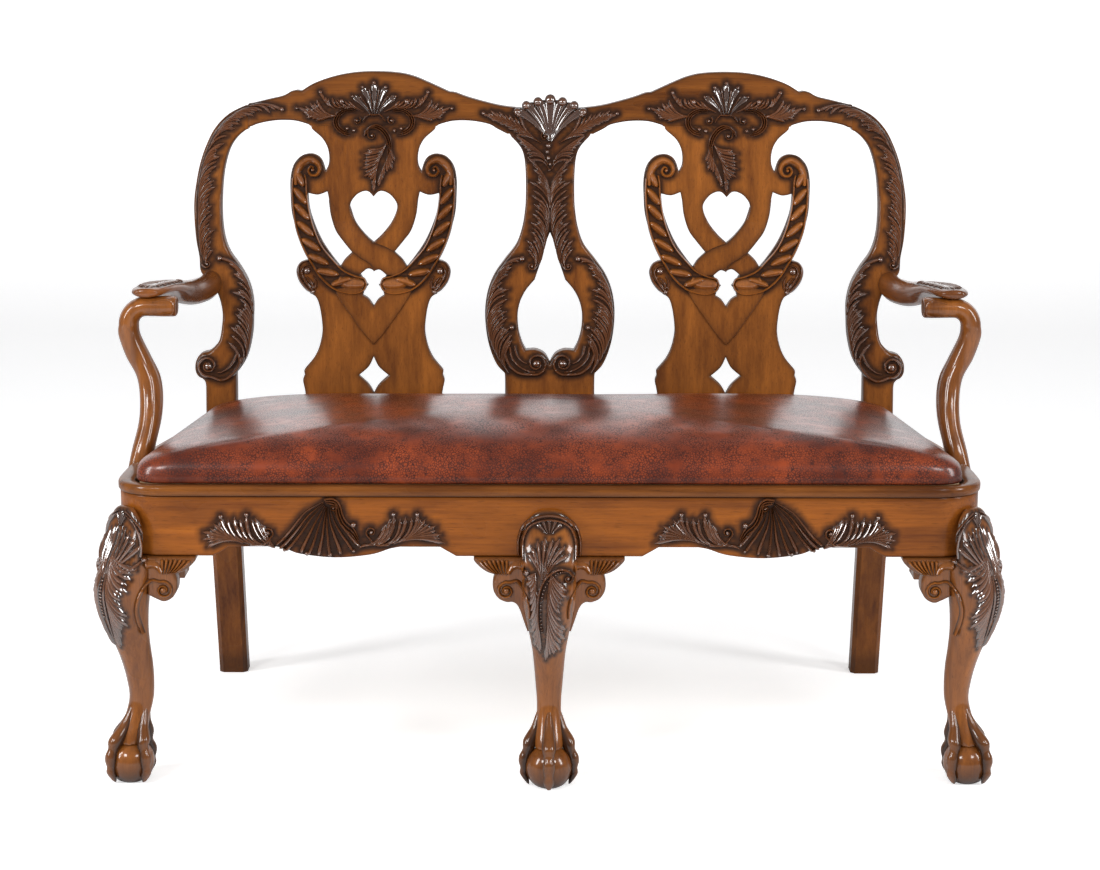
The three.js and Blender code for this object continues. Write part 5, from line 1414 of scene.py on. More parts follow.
# %% Corner knees
corner_knee = new_shape()
for hand, side in BOTH_HANDS:
    for shift in (0, 5):
        rim = [(44 - shift, 352), (44 - shift, 374), (39 - shift, 394),
               (27 - shift * 0.5, 408 - shift * 0.6), (12, 415 - shift)]
        reed(corner_knee, side(rim), 2.6, 4.5, round_leg, shape=band)
    for tip in ((7, 393), (16, 391), (25, 387), (33, 380), (40, 370)):
        control = (tip[0] * 0.55, 352)
        stroke(corner_knee, bend(*side([(tip[0] * 0.12, 322), control, tip])), 4.2, 5, round_leg, shape=flute)
    stroke(corner_knee, bend(*side([(5, 318), (24, 330), (43, 348)])), 3.6, 5, round_leg)
    beads(corner_knee, side([(43, 347, 4.6)]), round_leg, 6)
    plume(
        corner_knee, side([(4, 352), (6, 318), (9, 284), (10, 250), (6, 216)]),
        side([(38, 331), (33, 318), (31, 300), (23, 288), (29, 262), (27, 246), (18, 240), (13, 226),
              (6, 210)]),
        round_leg, half=4.2, rise=4.6, lead=56,
    )
    reed(corner_knee, side([(4, 326), (5, 296), (5, 262), (3, 228)]), 1.6, 4.6, round_leg, shape=band)
for tip in ((-15, 409), (-8, 414), (0, 416), (8, 414), (15, 409)):
    line = bend((tip[0] * 0.2, 394), (tip[0] * 0.5, 404), tip)
    stroke(corner_knee, line, 3.6, 5.5, round_leg, shape=flute, hollow=0.5)
for k in range(14):
    bead(corner_knee, (0, 326 - 5 * k), 1.9, round_leg, rise=3.4)
corner_knee_pieces = finished_pair(corner_knee, "knee_leaf", **CARVED)
print("knee leaves:", len(corner_knee_pieces[0].data.polygons), "faces on each corner leg")

# %% Middle knee
middle_knee = new_shape()
for shift, half in ((0, 2.8), (6, 2.2)):
    left = [(-45 + shift, 352), (-45 + shift, 376), (-37 + shift * 0.8, 397 - shift * 0.4),
            (-20, 410 - shift)]
    arch_line = [*left, (0, 414 - shift), *reversed(mirrored_points(left))]
    reed(middle_knee, arch_line, half, 5, front_of_leg, shape=even)
for tip in ((-19, 402), (-10, 408), (0, 410), (10, 408), (19, 402)):
    line = bend((tip[0] * 0.25, 389), (tip[0] * 0.6, 398), tip)
    stroke(middle_knee, line, 3.8, 5.5, front_of_leg, shape=flute, hollow=0.5)
for tip in ((-32, 362), (-26, 370), (-17, 379), (-6, 382), (5, 380), (15, 381), (23, 371), (29, 358)):
    line = bend((-9 + tip[0] * 0.1, 326), (-8 + tip[0] * 0.35, 352), tip)
    stroke(middle_knee, line, 4.6, 5.4, front_of_leg, shape=flute)
scroll_arch = [(-15, 250), (-17, 275), (-15, 305), (-5, 328), (12, 339), (27, 337), (35, 328)]
stroke(middle_knee, through(scroll_arch, 6), 2.4, 6, front_of_leg, shape=even)
for spot in through([(p[0] + 4.5, p[1] - 3) for p in scroll_arch], 5)[:-5]:
    bead(middle_knee, spot, 1.5, front_of_leg, rise=4.6)
volute(middle_knee, (28, 326), 10, 1.0, 60, -1, front_of_leg, half=2.5, rise=6.5)
plume(
    middle_knee, [(2, 334), (-2, 306), (-3, 276), (0, 246), (-4, 206)],
    [(26, 308), (27, 298), (18, 290), (16, 276), (25, 246), (24, 230), (17, 212), (8, 206), (-5, 197)],
    front_of_leg, half=4.2, rise=4.8, lead=62,
)
plume(
    middle_knee, [(-20, 334), (-19, 306), (-17, 276), (-15, 246), (-14, 216)],
    [(-34, 326), (-35, 314), (-28, 306), (-30, 286), (-29, 262), (-28, 240), (-22, 219), (-13, 210)],
    front_of_leg, half=4.0, rise=4.6, lead=50,
)
bead(middle_knee, (-34, 334), 4.6, front_of_leg, rise=6)
middle_knee_piece = finished(middle_knee, "knee_leaf_middle", **CARVED)
glaze_and_shade_round(corner_legs, corner_knee_pieces, reach=3.5)
glaze_and_shade_round([middle_leg_piece], [middle_knee_piece], reach=3.5)
print("knee leaves:", len(middle_knee_piece.data.polygons), "faces on the middle one")

# %% [markdown]
# ## Knee brackets
# A bracket carries the knee's curve into the rail. It is a sawn block with a reeded leaf above and a
# scroll below, whose stem comes up from the leg. Beside the middle leg the block's foot flares down
# along the leg. The side brackets are the front ones mirrored about the corner's diagonal.

# %% Brackets
BRACKET_LENGTH, BRACKET_HEIGHT = 73.0, 68.0
BRACKET_FRONT = 8.0
wing_run = [(0.99, -0.08), (0.86, -0.23), (0.72, -0.33), (0.58, -0.38)]
volute_run = [(0.62, -0.55), (0.6, -0.75), (0.5, -0.92), (0.34, -1)]
short_foot = [(0.18, -0.94), (0, -0.84)]
flared_foot = [(0.22, -1), (0.13, -1.06), (0.06, -1.2), (0, -1.4), (-0.09, -1.68)]


def bracket(inner_x, leg_tree, lead_in, foot):
    inner = foot[-1][0]
    runs = [[(inner, 0), (1, 0)], wing_run, volute_run + foot, [(inner, 0)]]
    line = outline(runs, BRACKET_LENGTH, x=inner_x, height=BRACKET_HEIGHT, z=RAIL_BOTTOM - 0.4)[:-1]
    made = sawn([line], lambda z: -BRACKET_FRONT, lambda z: 32, rounding=5, score=4)
    edge_glaze_and_shade(made, [line], strength=0.6)

    def face(u, v, out):
        """On the bracket, or on the leg where that stands in front of it."""
        hit = leg_tree.ray_cast(place(inner_x + u, -FAR_AWAY, RAIL_BOTTOM + v), BACKWARD)[0]
        depth = min((hit.y - RAIL_FACE) / MM, -BRACKET_FRONT) if hit else -BRACKET_FRONT
        return place(inner_x + u, depth - out, RAIL_BOTTOM + v)

    tips = [(24, -2), (31, -2), (38, -2), (45, -2), (52, -2.5), (59, -3), (66, -4)]
    for k, tip in enumerate(tips):
        root = (24 + 2.8 * k, -26 + 0.3 * k)
        stroke(made, bend(root, (root[0] * 0.45 + tip[0] * 0.55, -17), tip), 4, 5, face, shape=flute)
    reed(made, [(0, -12), (9, -11), (17, -15), (22, -23)], 7, 6, face, shape=band, dark=0.3)
    volute(made, (25, -50), 18, 1.4, 115, -1, face, half=3.6, rise=6, lead_in=lead_in)
    return made


# %% Brackets in place


def to_the_side(bm):
    """Mirrors a piece at the left corner about the corner's diagonal."""
    for vert in bm.verts:
        x = vert.co.x / MM + CORNER_X
        y = (vert.co.y - RAIL_FACE) / MM - CORNER_RADIUS
        vert.co = place(y - CORNER_X, x + CORNER_RADIUS, vert.co.z / MM)


corner_lead = [(-7, -116), (-12, -99), (-14, -79), (-10, -59), (-2, -43), (8, -35)]
middle_lead = [(-8, -84), (-8, -68), (-5, -54), (2, -43), (9, -35)]
front_bracket = bracket(JOINT_GAP - CORNER_STUB_X, corner_tree, corner_lead, short_foot)
finished_pair(front_bracket.copy(), "bracket_front", walnut_round, stands_for="knee_bracket_front")
to_the_side(front_bracket)
finished_pair(front_bracket, "bracket_side", walnut_round, stands_for="knee_bracket_side")
middle_bracket = bracket(JOINT_GAP + MIDDLE_STUB_HALF, middle_tree, middle_lead, flared_foot)
for side_name, again in (("right", True), ("left", False)):
    finished(
        middle_bracket, f"bracket_middle_{side_name}", walnut_round,
        stands_for=f"knee_bracket_middle_{side_name}", again=again,
    )
    if again:
        turned_over(middle_bracket)
print("six knee brackets")

# %% [markdown]
# ## Arms
# Arm and support are worked round: oval rings follow a curved line and change from a tube to a flat
# hand rest. A few given rows, with a smooth line drawn through them, keep the curve fair.

# %% Arms
ARM_HEIGHT = 681.0
ARM_RISE = 27
ARM_HALF = 19
ARM_TALL, HAND_REST_TALL = 42, 14
SUPPORT_FOOT_Y = 205.0
SUPPORT_FOOT_X = side_x(SUPPORT_FOOT_Y)
arm_shares = [
    (0, 0, 0, 0.95, 0, 2), (0.15, 0.08, -0.1, 0.95, 0, 2), (0.35, 0.3, 0, 1, 0.05, 2.1),
    (0.5, 0.5, 0.3, 1.2, 0.22, 2.3), (0.62, 0.66, 0.62, 1.4, 0.6, 2.6), (0.75, 0.8, 0.9, 1.5, 0.89, 3),
    (0.88, 0.92, 1, 1.5, 1, 3), (0.96, 0.98, 1, 1.3, 1, 2.6), (1, 1, 1, 0.95, 1, 2.4),
]

arm = new_shape()
arm_start = (POST_INNER_X + POST_WIDTH - 9, back_face(ARM_HEIGHT))
arm_end = (SUPPORT_FOOT_X - 14, SUPPORT_FOOT_Y + 15)
arm_rings = []
for forward, outward, rise, wide, thinned, power in through(arm_shares, 5):
    centre = Vector((
        -(arm_start[0] + (arm_end[0] - arm_start[0]) * outward),
        arm_start[1] + (arm_end[1] - arm_start[1]) * forward,
        ARM_HEIGHT + rise * ARM_RISE,
    ))
    high = ARM_TALL + (HAND_REST_TALL - ARM_TALL) * thinned
    arm_rings.append(oval(centre, ACROSS, UP, wide * ARM_HALF, high / 2, 32, power))
tip = arm_rings[-1]
middle = sum(tip, Vector((0, 0, 0))) / len(tip)
for size, ahead in ((0.8, 2.5), (0.4, 3.5)):
    arm_rings.append([middle + (p - middle) * size + Vector((0, -ahead, 0)) * MM for p in tip])
# Painted shade: the arm darkens toward the back post, where it joins it
skin(arm, arm_rings, glaze_and_shade=lambda row, column: 0.7 * math.exp(-row / 1.5))
arm_tree = BVHTree.FromBMesh(arm)
arms = finished_pair(arm, "arm_rest", walnut_arm, stands_for="arm", sharp=60)


# %% Leaves on the arms


def on_arm(u, v, out):
    hit = arm_tree.ray_cast(place(u, v, ARM_HEIGHT + 200), -UP)[0]
    return (hit or place(u, v, ARM_HEIGHT + 25)) + UP * out * MM


arm_leaf = new_shape()
arm_stem = [(-595, 352), (-601, 318), (-609, 282), (-616, 244)]
for arm_tips in (
    [(-618, 330), (-629, 312), (-635, 294), (-638, 276), (-639, 258), (-634, 240), (-622, 230)],
    [(-583, 330), (-582, 312), (-584, 294), (-588, 276), (-592, 258), (-600, 240), (-613, 230)],
):
    plume(arm_leaf, arm_stem, arm_tips, on_arm, half=4, rise=2.6, lead=30)
volute(arm_leaf, (-587, 346), 10, 1.2, 270, 1, on_arm, half=2.2, rise=3)
arm_leaves = finished_pair(arm_leaf, "arm_leaf", **CARVED)
glaze_and_shade_round(arms, arm_leaves, reach=3.5)
print("arm leaves:", len(arm_leaves[0].data.polygons), "faces each")

# %% Arm supports
SUPPORT_WIDTH, SUPPORT_DEPTH = 34.0, 80.0
CROOK_RADIUS, CROOK_LENGTH = 28.0, 47.0
CHEEK_HALF, CHEEK_THICKNESS = 29, 15.5
CHEEK_BOTTOM, CHEEK_HEIGHT = 397, 43
support_shares = [
    (0, 0, 0, 0.48, 0.5, 3.4), (0.14, -0.18, 0.04, 0.48, 0.45, 3), (0.325, -0.43, 0.25, 0.48, 0.42, 2.6),
    (0.49, -0.44, 0.44, 0.5, 0.4, 2.4), (0.63, -0.29, 0.5, 0.51, 0.35, 2.3),
    (0.765, 0.12, 0.5, 0.55, 0.3, 2.2),
    (0.92, 0.47, 0.44, 0.49, 0.27, 2.2), (1, 0.47, 0.39, 0.45, 0.26, 2.2),
]
CROOK_HALF = 0.45 * SUPPORT_WIDTH
support_top = ARM_HEIGHT + ARM_RISE - HAND_REST_TALL / 2 - JOINT_GAP
support_rise = support_top - CROOK_HALF - CROOK_RADIUS - REBATE_TOP


def support_place(rise, outward, backward):
    return Vector((
        -SUPPORT_FOOT_X - outward * SUPPORT_WIDTH,
        SUPPORT_FOOT_Y + backward * SUPPORT_DEPTH,
        REBATE_TOP + rise * support_rise,
    ))


support = new_shape()
support_rings = []
for rise, outward, backward, wide, deep, power in through(support_shares, 6):
    centre = support_place(rise, outward, backward)
    half_wide, half_long = wide * SUPPORT_WIDTH, deep * SUPPORT_DEPTH
    support_rings.append(oval(centre, ACROSS, BACKWARD, half_wide, half_long, 36, power))
start = support_place(*support_shares[-1][:3])
half_deep = support_shares[-1][4] * SUPPORT_DEPTH
for k in range(1, 13):
    turn = math.pi / 2 * k / 12
    radial = Vector((-math.cos(turn), 0, math.sin(turn)))
    centre = start + ACROSS * CROOK_RADIUS + radial * CROOK_RADIUS
    support_rings.append(oval(centre, -radial, BACKWARD, CROOK_HALF, half_deep, 36, 2.2))
crook = start + Vector((CROOK_RADIUS, 0, CROOK_RADIUS))
for along, size in through([(0, 1), (0.5, 1.03), (0.85, 1.03), (0.95, 0.98), (0.99, 0.86), (1, 0.7)], 3)[1:]:
    centre = crook + ACROSS * along * CROOK_LENGTH
    support_rings.append(oval(centre, -UP, BACKWARD, CROOK_HALF * size, half_deep * size, 36, 2.2))
rows = len(support_rings)
# Painted shade: the support darkens toward its foot on the rail and at the tip of its crook, under the arm
skin(support, support_rings, glaze_and_shade=lambda row, column: 0.6 * math.exp(-row / 3) + 0.5 * (row > rows - 3))
cheek = []
cheek_section = section(CHEEK_THICKNESS, CHEEK_HEIGHT, 4)
for k in range(9):
    y = SUPPORT_FOOT_Y + CHEEK_HALF * (k / 4 - 1)
    cheek.append([place(-side_x(y, -JOINT_GAP) - out, y, CHEEK_BOTTOM + rise) for out, rise in cheek_section])
# The cheek is evenly darkened a little
skin(support, cheek, glaze_and_shade=lambda row, column: 0.3)
support_tree = BVHTree.FromBMesh(support)


def on_crook(u, v, out):
    """A place on the front of the crook that carries the arm."""
    x, z = crook.x + u, crook.z + v
    hit = support_tree.ray_cast(place(x, crook.y - 200, z), BACKWARD)[0]
    return (hit or place(x, crook.y - half_deep, z)) - BACKWARD * out * MM


# %% Rim on the crook that carries the arm
rim_line = [(12, 9), (24, 12), (36, 12.5), (43, 9), (45, 0), (43, -9), (36, -12.5), (24, -12.5), (8, -11)]
stroke(support, through(rim_line), 1.6, 1.6, on_crook, shape=even, arch=5, dark=0.6)
supports = finished_pair(support, "arm_upright", walnut_round, stands_for="arm_support", sharp=60)
print("arms and supports:", len(arms[0].data.polygons), len(supports[0].data.polygons), "faces")

# %% [markdown]
# ## Crest cartouches
# A shell with beaded flutes crowns each splat. Leaf sprays reach out from it on both sides, over a
# pair of scrolls, and a tall leaf hangs below from a scroll of its own.

# %% Crest cartouche
SHELL_BASE = (1.5, 956)
shell_ends = [
    ((-34, 986), 2.6), ((-17.5, 1001), 3.3), ((1.5, 1008), 3.6), ((20.5, 1001), 3.3), ((37, 986), 2.6),
]


def from_base(end, across, up):
    """A place between the shell's base and the end of a flute."""
    return SHELL_BASE[0] + (end[0] - SHELL_BASE[0]) * across, SHELL_BASE[1] + (end[1] - SHELL_BASE[1]) * up


cartouche = new_shape()
lay = lambda u, v, out: on_back(u - CHAIR_X, v, out)
for end, size in shell_ends:
    line = bend(from_base(end, 0.16, 0), from_base(end, 0.45, 0.55), end)
    stroke(cartouche, line, 6.6, 6, lay, shape=flute, hollow=0.75, arch=12)
    bead(cartouche, (end[0], end[1] - 1), size, lay, rise=7)
for k in range(len(shell_ends) - 1):
    (a, b), (c, d) = shell_ends[k][0], shell_ends[k + 1][0]
    end = ((a + c) / 2 * 0.93, (b + d) / 2 - 6)
    line = bend(from_base(end, 0.2, 0), from_base(end, 0.5, 0.55), end)
    stroke(cartouche, line, 2.2, 6.5, lay, shape=flute)
for hand, side in ((1, list), (-1, lambda points: mirrored_points(points, SHELL_BASE[0]))):
    upper_stem = side([(-14, 960), (-38, 967), (-60, 965), (-78, 972), (-87, 990)])
    plume(
        cartouche, upper_stem, side([(-41, 978), (-58, 981), (-67, 983), (-78, 984), (-88, 994)]), lay,
        half=3.2, rise=5, lead=26,
    )
    lower_stem = side([(-36, 958), (-62, 953), (-88, 953), (-112, 958)])
    plume(
        cartouche, lower_stem, side([(-93, 980), (-104, 975), (-126, 968), (-117, 960), (-111, 950),
                                     (-95, 945)]), lay,
        half=3.7, rise=4.8, lead=42,
    )
    beads(cartouche, side([(-52, 977, 4.6), (-87, 992, 3.4), (-126, 966, 3.2)]), lay, 6.5)
    stroke(cartouche, side([(1.5, 955), (-8, 955.5), (-13, 951), (-17, 944)]), 2.2, 6.5, lay, shape=band)
    angle = 70 if hand == 1 else 110
    for reach, width, turn in ((36, 2.0, 0.56), (31.5, 2.0, 0.55), (27, 1.7, 0.53)):
        eye = side([(-37, 944)])[0]
        arc = []
        for k in range(15):
            swing = math.radians(angle + hand * 360 * turn * k / 14)
            arc.append((eye[0] + reach * 0.78 * math.cos(swing), eye[1] + reach * 0.62 * math.sin(swing)))
        stroke(cartouche, arc, width, 6, lay, shape=leaf)
    volute(cartouche, side([(-27, 946)])[0], 9, 0.9, 60 if hand == 1 else 120, -hand, lay, half=2, rise=5.5)
    beads(cartouche, side([(-43, 933, 3.2), (-32, 930, 3.2)]), lay, 6)

# %% Leaf that hangs from the cartouche
hanging = through([(-12, 924), (-9, 932), (2, 936.5), (14, 931.5), (23, 920), (27, 905), (25, 890)], 5)
for shift in (-3.2, 0, 3.2):
    line = [(p.x + shift * 0.8, p.y + shift * 0.75) for p in hanging]
    stroke(cartouche, line, 2.0, 6, lay, shape=band)
volute(cartouche, (-2, 922), 10, 0.8, 150, 1, lay, half=2, rise=6)
pendant_stem = [(24, 912), (17, 897), (9, 880), (4, 862), (1, 838)]
plume(
    cartouche, pendant_stem,
    [(-11, 899), (-19, 893), (-19, 880), (-20, 868), (-17, 855), (-6, 850),
     (0, 830)], lay, half=3.6, rise=5, lead=26,
)
plume(
    cartouche, [(26, 912), (27, 895), (22, 880), (13, 862), (8, 842)],
    [(35, 880), (31, 866), (23, 862), (14, 848), (8, 838)], lay, half=3.6, rise=5, lead=30,
)
cartouche_pieces = finished_pair(cartouche, "crest_cartouche", stands_for="crest_carving", **CARVED)
print("cartouches:", len(cartouche_pieces[0].data.polygons), "faces each")

# %% [markdown]
# ## Shell over the middle post
# The joint of the two crest rails is covered by a larger shell of seven flutes, with leaf sprays that
# run out on both crests and a husk that drops onto the post's neck.

# %% Middle shell
middle_shell = new_shape()
fan = [((-55, 964), 8.5), ((-40, 975), 9.5), ((-20.5, 981), 10), ((0, 985), 11.5), ((20.5, 981), 10),
       ((40, 975), 9.5), ((55, 964), 8.5)]
for end, size in fan:
    root = (end[0] * 0.06, 914)
    control = (end[0] * 0.36, 914 + (end[1] - 914) * 0.6)
    line = bend(root, control, end, 10)
    stroke(middle_shell, line, size, 8, on_back, shape=flute, hollow=0.65, sunk=6, arch=13)
    bead(middle_shell, (end[0] * 0.985, end[1] - size * 0.42), size * 0.8, on_back, rise=7.5)
for hand, side in BOTH_HANDS:
    plume(
        middle_shell, side([(-10, 906), (-38, 926), (-62, 940), (-84, 948), (-106, 955)]),
        side([(-50, 955), (-68, 957), (-84, 961), (-98, 963), (-111, 957),
              (-98, 948), (-84, 941), (-70, 933), (-57, 923)]),
        on_back, half=3.4, rise=4.8, lead=42,
    )
    plume(
        middle_shell, side([(-2, 862), (-6, 882), (-20, 900), (-40, 914)]),
        side([(-37, 880), (-40, 892), (-44, 902), (-52, 911), (-58, 922)]),
        on_back, half=3.4, rise=4.4, lead=36,
    )
    beads(middle_shell, side([(-52, 956, 4.5)]), on_back, 7)
    beads(middle_shell, side([(-110, 958, 3.5)]), on_back, 5.5)
volute(middle_shell, (-9, 921), 9, 1.1, 100, 1, on_back, half=2.2, rise=8.5)
husk = [(-3, 906, 5), (-5, 896, 4), (-3, 886, 4.2), (0, 876, 3.2), (-1, 867, 2.6)]
beads(middle_shell, husk, on_back, 6.5)
middle_shell_piece = finished(middle_shell, "crest_middle_shell", stands_for="crest_shell", **CARVED)
print("middle shell:", len(middle_shell_piece.data.polygons), "faces")

# %% [markdown]
# ## Panels on the front rail
# Two panels between the legs hold a lopsided shell whose flutes fan down from a curled top, with a
# scrolled leaf on each side.

# %% Rail panels
panel = new_shape()
panel_flutes = [
    [(-331, 432), (-357, 417), (-376, 394), (-390, 377), (-403, 366)],
    [(-331, 430), (-353, 412), (-370, 390), (-385, 372), (-398, 360)],
    [(-330, 428), (-349, 408), (-364, 386), (-378, 368), (-389, 357)],
    [(-329, 426), (-343, 402), (-354, 380), (-361, 366), (-366, 354)],
    [(-328, 424), (-337, 400), (-344, 378), (-349, 364), (-355, 351)],
    [(-327, 424), (-331, 400), (-334, 378), (-337, 364), (-340, 350)],
    [(-326, 423), (-327, 400), (-326, 378), (-325, 364), (-323, 350)],
    [(-324, 423), (-322, 400), (-316, 380), (-311, 366), (-307, 352)],
    [(-322, 424), (-316, 402), (-306, 383), (-297, 370), (-289, 357)],
    [(-320, 426), (-311, 406), (-299, 388), (-288, 374), (-279, 364)],
]
for k, line in enumerate(panel_flutes):
    stroke(panel, through(line, 4), 4.2 if k % 2 else 3.4, 6.5 if k % 2 else 8, on_rail, shape=flute)
beads(panel, [(-357, 353.5, 3.6), (-323, 352, 3.6), (-390, 359, 2.8), (-288, 358, 2.8)], on_rail, 6.5)
for shift in (0, 4, 8):
    rim = [(-330 + shift * 0.4, 435 - shift * 0.6), (-317, 436 - shift),
           (-308 - shift * 0.7, 428 - shift * 0.4),
           (-304 - shift, 413), (-298 - shift * 0.8, 402 - shift), (-288 - shift * 0.5, 392 - shift),
           (-281, 377 - shift)]
    stroke(panel, through(rim, 4), 2.4, 7, on_rail, shape=band)
volute(panel, (-317, 423), 8, 1.2, 70, -1, on_rail, half=2, rise=8)
bead(panel, (-288, 397), 4.6, on_rail, rise=7)
left_stem = [(-406, 366), (-425, 367), (-449, 369), (-472, 378), (-494, 388)]
plume(
    panel, left_stem,
    [(-424, 400), (-433, 408), (-445, 413), (-463, 409), (-483, 409),
     (-494, 399), (-511, 386), (-510, 374), (-504, 362)],
    on_rail, half=4.2, rise=5.6, lead=46,
)
right_stem = [(-273, 366), (-258, 366), (-235, 367), (-208, 376), (-180, 390)]
plume(
    panel, right_stem,
    [(-240, 398), (-234, 406), (-228, 414), (-211, 409), (-193, 414),
     (-182, 406), (-166, 396), (-158, 382), (-154, 369)],
    on_rail, half=4.2, rise=5.6, lead=46,
)
beads(panel, [(-445, 412, 4), (-483, 409, 4), (-229, 413, 4), (-194, 413, 4)], on_rail, 6.5)
volute(panel, (-414, 385), 11, 1.2, -60, 1, on_rail, half=2.6, rise=6.5, lead_in=[(-440, 367), (-420, 367)])
volute(panel, (-262, 386), 11, 1.2, 240, -1, on_rail, half=2.6, rise=6.5, lead_in=[(-236, 367), (-256, 367)])
for line in ([(-404, 362), (-412, 366), (-420, 365)], [(-280, 362), (-272, 366), (-262, 365)]):
    reed(panel, line, 3, 5, on_rail, shape=blade)
panel_pieces = finished_pair(panel, "rail_panel", stands_for="rail_carving", **CARVED)
print("panels:", len(panel_pieces[0].data.polygons), "faces each")

# %% [markdown]
# ## Leaves on the middle post
# Long acanthus leaves clothe the post. On the neck their barbs rise from the middle line, and
# below they rise from the outer edge, out of two scrolls that meet under the tear-shaped opening.

# %% Lyre leaves
lyre_leaves = new_shape()
for hand, side in BOTH_HANDS:
    neck_stem = side([(-28, 706), (-17, 714), (-10, 738), (-3, 768), (-1, 800), (-1, 835), (-1, 872)])
    neck_tips = side([
        (-38, 738), (-39, 753), (-27, 760), (-33, 768), (-33, 782), (-22, 788), (-30, 796), (-28, 812),
        (-18, 819), (-31, 825), (-35, 848), (-21, 853), (-29, 868), (-39, 889),
    ])
    plume(lyre_leaves, neck_stem, neck_tips, on_back, half=3.2, rise=4.6, lead=44)
    eye, start = side([(-30, 710)])[0], 0 if hand == 1 else 180
    volute(lyre_leaves, eye, 9.5, 1.0, start, -hand, on_back, half=2.3, rise=5)
    outer_stem = side([
        (-68, 536), (-88, 565), (-101, 598), (-104, 637), (-98, 672), (-81, 707), (-60, 731), (-50, 733),
    ])
    inner_tips = side([
        (-62, 590), (-61, 599), (-64, 611), (-74, 611), (-69, 626), (-70, 637), (-78, 643), (-69, 656),
        (-67, 672), (-78, 675), (-69, 696), (-62, 708), (-66, 714), (-50, 716), (-43, 722),
    ])
    plume(lyre_leaves, outer_stem, inner_tips, on_back, half=3.5, rise=4.8, lead=52)
    beads(lyre_leaves, side([(-63, 610, 4.5), (-46, 722, 5)]), on_back, 6)
    eye = side([(-21.9, 551)])[0]
    start = -100 if hand == 1 else 280
    volute(
        lyre_leaves, eye, 22, 1.45, start, hand, on_back, half=3.6, rise=6,
        lead_in=side([(-74, 566), (-66, 548), (-50, 535)]),
    )
    knots = side([(-66, 578), (-62, 560), (-50, 546), (-34, 538), (-24, 537)])
    reed(lyre_leaves, knots, 3, 4.4, on_back, shape=band)
    knots = side([(-58, 580), (-55, 566), (-46, 555), (-38, 551)])
    reed(lyre_leaves, knots, 2.6, 3.6, on_back, shape=band)
lyre_leaf_piece = finished(lyre_leaves, "lyre_leaves", **CARVED)
print("lyre leaves:", len(lyre_leaf_piece.data.polygons), "faces")

# %% [markdown]
# ## Leaves on the back posts
# Each stile carries two leaves. The upper one climbs its outer edge and runs out on the crest. The
# lower one climbs the inner edge, out of the scroll that ends the stile above the seat.

# %% Stile leaves
stile_leaves = new_shape()
upper_stem = [
    (-566, 712), (-576, 732), (-579, 787), (-576, 851), (-557, 909), (-531, 947), (-499, 967),
    (-466, 975), (-446, 970),
]
upper_tips = [
    (-556, 736), (-558, 750), (-553, 768), (-561, 778), (-556, 793), (-556, 808), (-562, 820),
    (-551, 838), (-553, 848), (-560, 858), (-548, 872), (-543, 887), (-550, 893), (-541, 904),
    (-536, 908), (-518, 932), (-528, 935), (-510, 939), (-505, 950), (-487, 952), (-480, 960),
    (-461, 957), (-440, 962),
]
plume(stile_leaves, upper_stem, upper_tips, on_back, half=3.6, rise=4.6, lead=40)
volute(stile_leaves, (-566, 713), 10, 1.0, 180, 1, on_back, half=2.4, rise=5)
bead(stile_leaves, (-441, 964), 4, on_back, rise=5.5)
lower_stem = [
    (-522, 534), (-501, 562), (-492, 610), (-490, 648), (-498, 681), (-514, 709), (-532, 725), (-541, 724),
]
lower_tips = [
    (-531, 585), (-528, 611), (-519, 614), (-520, 632), (-517, 641), (-507, 648), (-526, 667), (-514, 671),
    (-523, 697), (-516, 702), (-530, 713), (-546, 722),
]
plume(stile_leaves, lower_stem, lower_tips, on_back, half=3.8, rise=4.8, lead=48)
bead(stile_leaves, (-545, 722), 5, on_back, rise=6)
volute(
    stile_leaves, (-565, 546), 22, 1.5, -75, -1, on_back, half=3.8, rise=6,
    lead_in=[(-508, 560), (-520, 537), (-540, 523)],
)
reed(stile_leaves, [(-516, 566), (-526, 548), (-540, 537), (-549, 535)], 3, 4.4, on_back, shape=band)
stile_pieces = finished_pair(stile_leaves, "stile_leaves", **CARVED)
print("stile leaves:", len(stile_pieces[0].data.polygons), "faces each")

# %% [markdown]
# ## Rope scrolls on the splats
# A twisted rope hangs in each side of the splat between two thin rims. The carver cut it as a row of
# plump lobes that lie slantwise over the channel, with a deep dark cut between them. So each lobe is
# one gouge stroke across the rope's line. The rope ends above in a plain scroll and below in a smooth
# cap, and a small leaf, the ear, curls out beside it.

# %% Ropes
ROPE_PITCH = 26.0
ROPE_SLANT = 1.4


def pillow(t):
    """Full in the middle, with round ends."""
    return max(1 - (2 * t - 1) ** 2, 0) ** 0.45


def rope(bm, path, surface):
    """Slanting lobes along a path of places with half widths."""
    line = through(path, 12)
    run = run_along([point.to_2d() for point in line])
    count = round(run[-1] / ROPE_PITCH)
    half = 0.47 * ROPE_PITCH / math.hypot(1, ROPE_SLANT)
    for lobe in range(count):
        k = min(range(len(run)), key=lambda k: abs(run[k] - run[-1] * (lobe + 0.5) / count))
        ahead = (line[min(k + 1, len(line) - 1)] - line[k - 1]).to_2d().normalized()
        slanted = Vector((-ahead.y, ahead.x)) + ahead * ROPE_SLANT
        middle, reach = line[k].to_2d(), line[k].z
        points = [middle + slanted * reach * (j / 5 - 1) for j in range(11)]
        stroke(bm, points, half, 8.5, surface, shape=pillow, arch=11, dark=0.9)


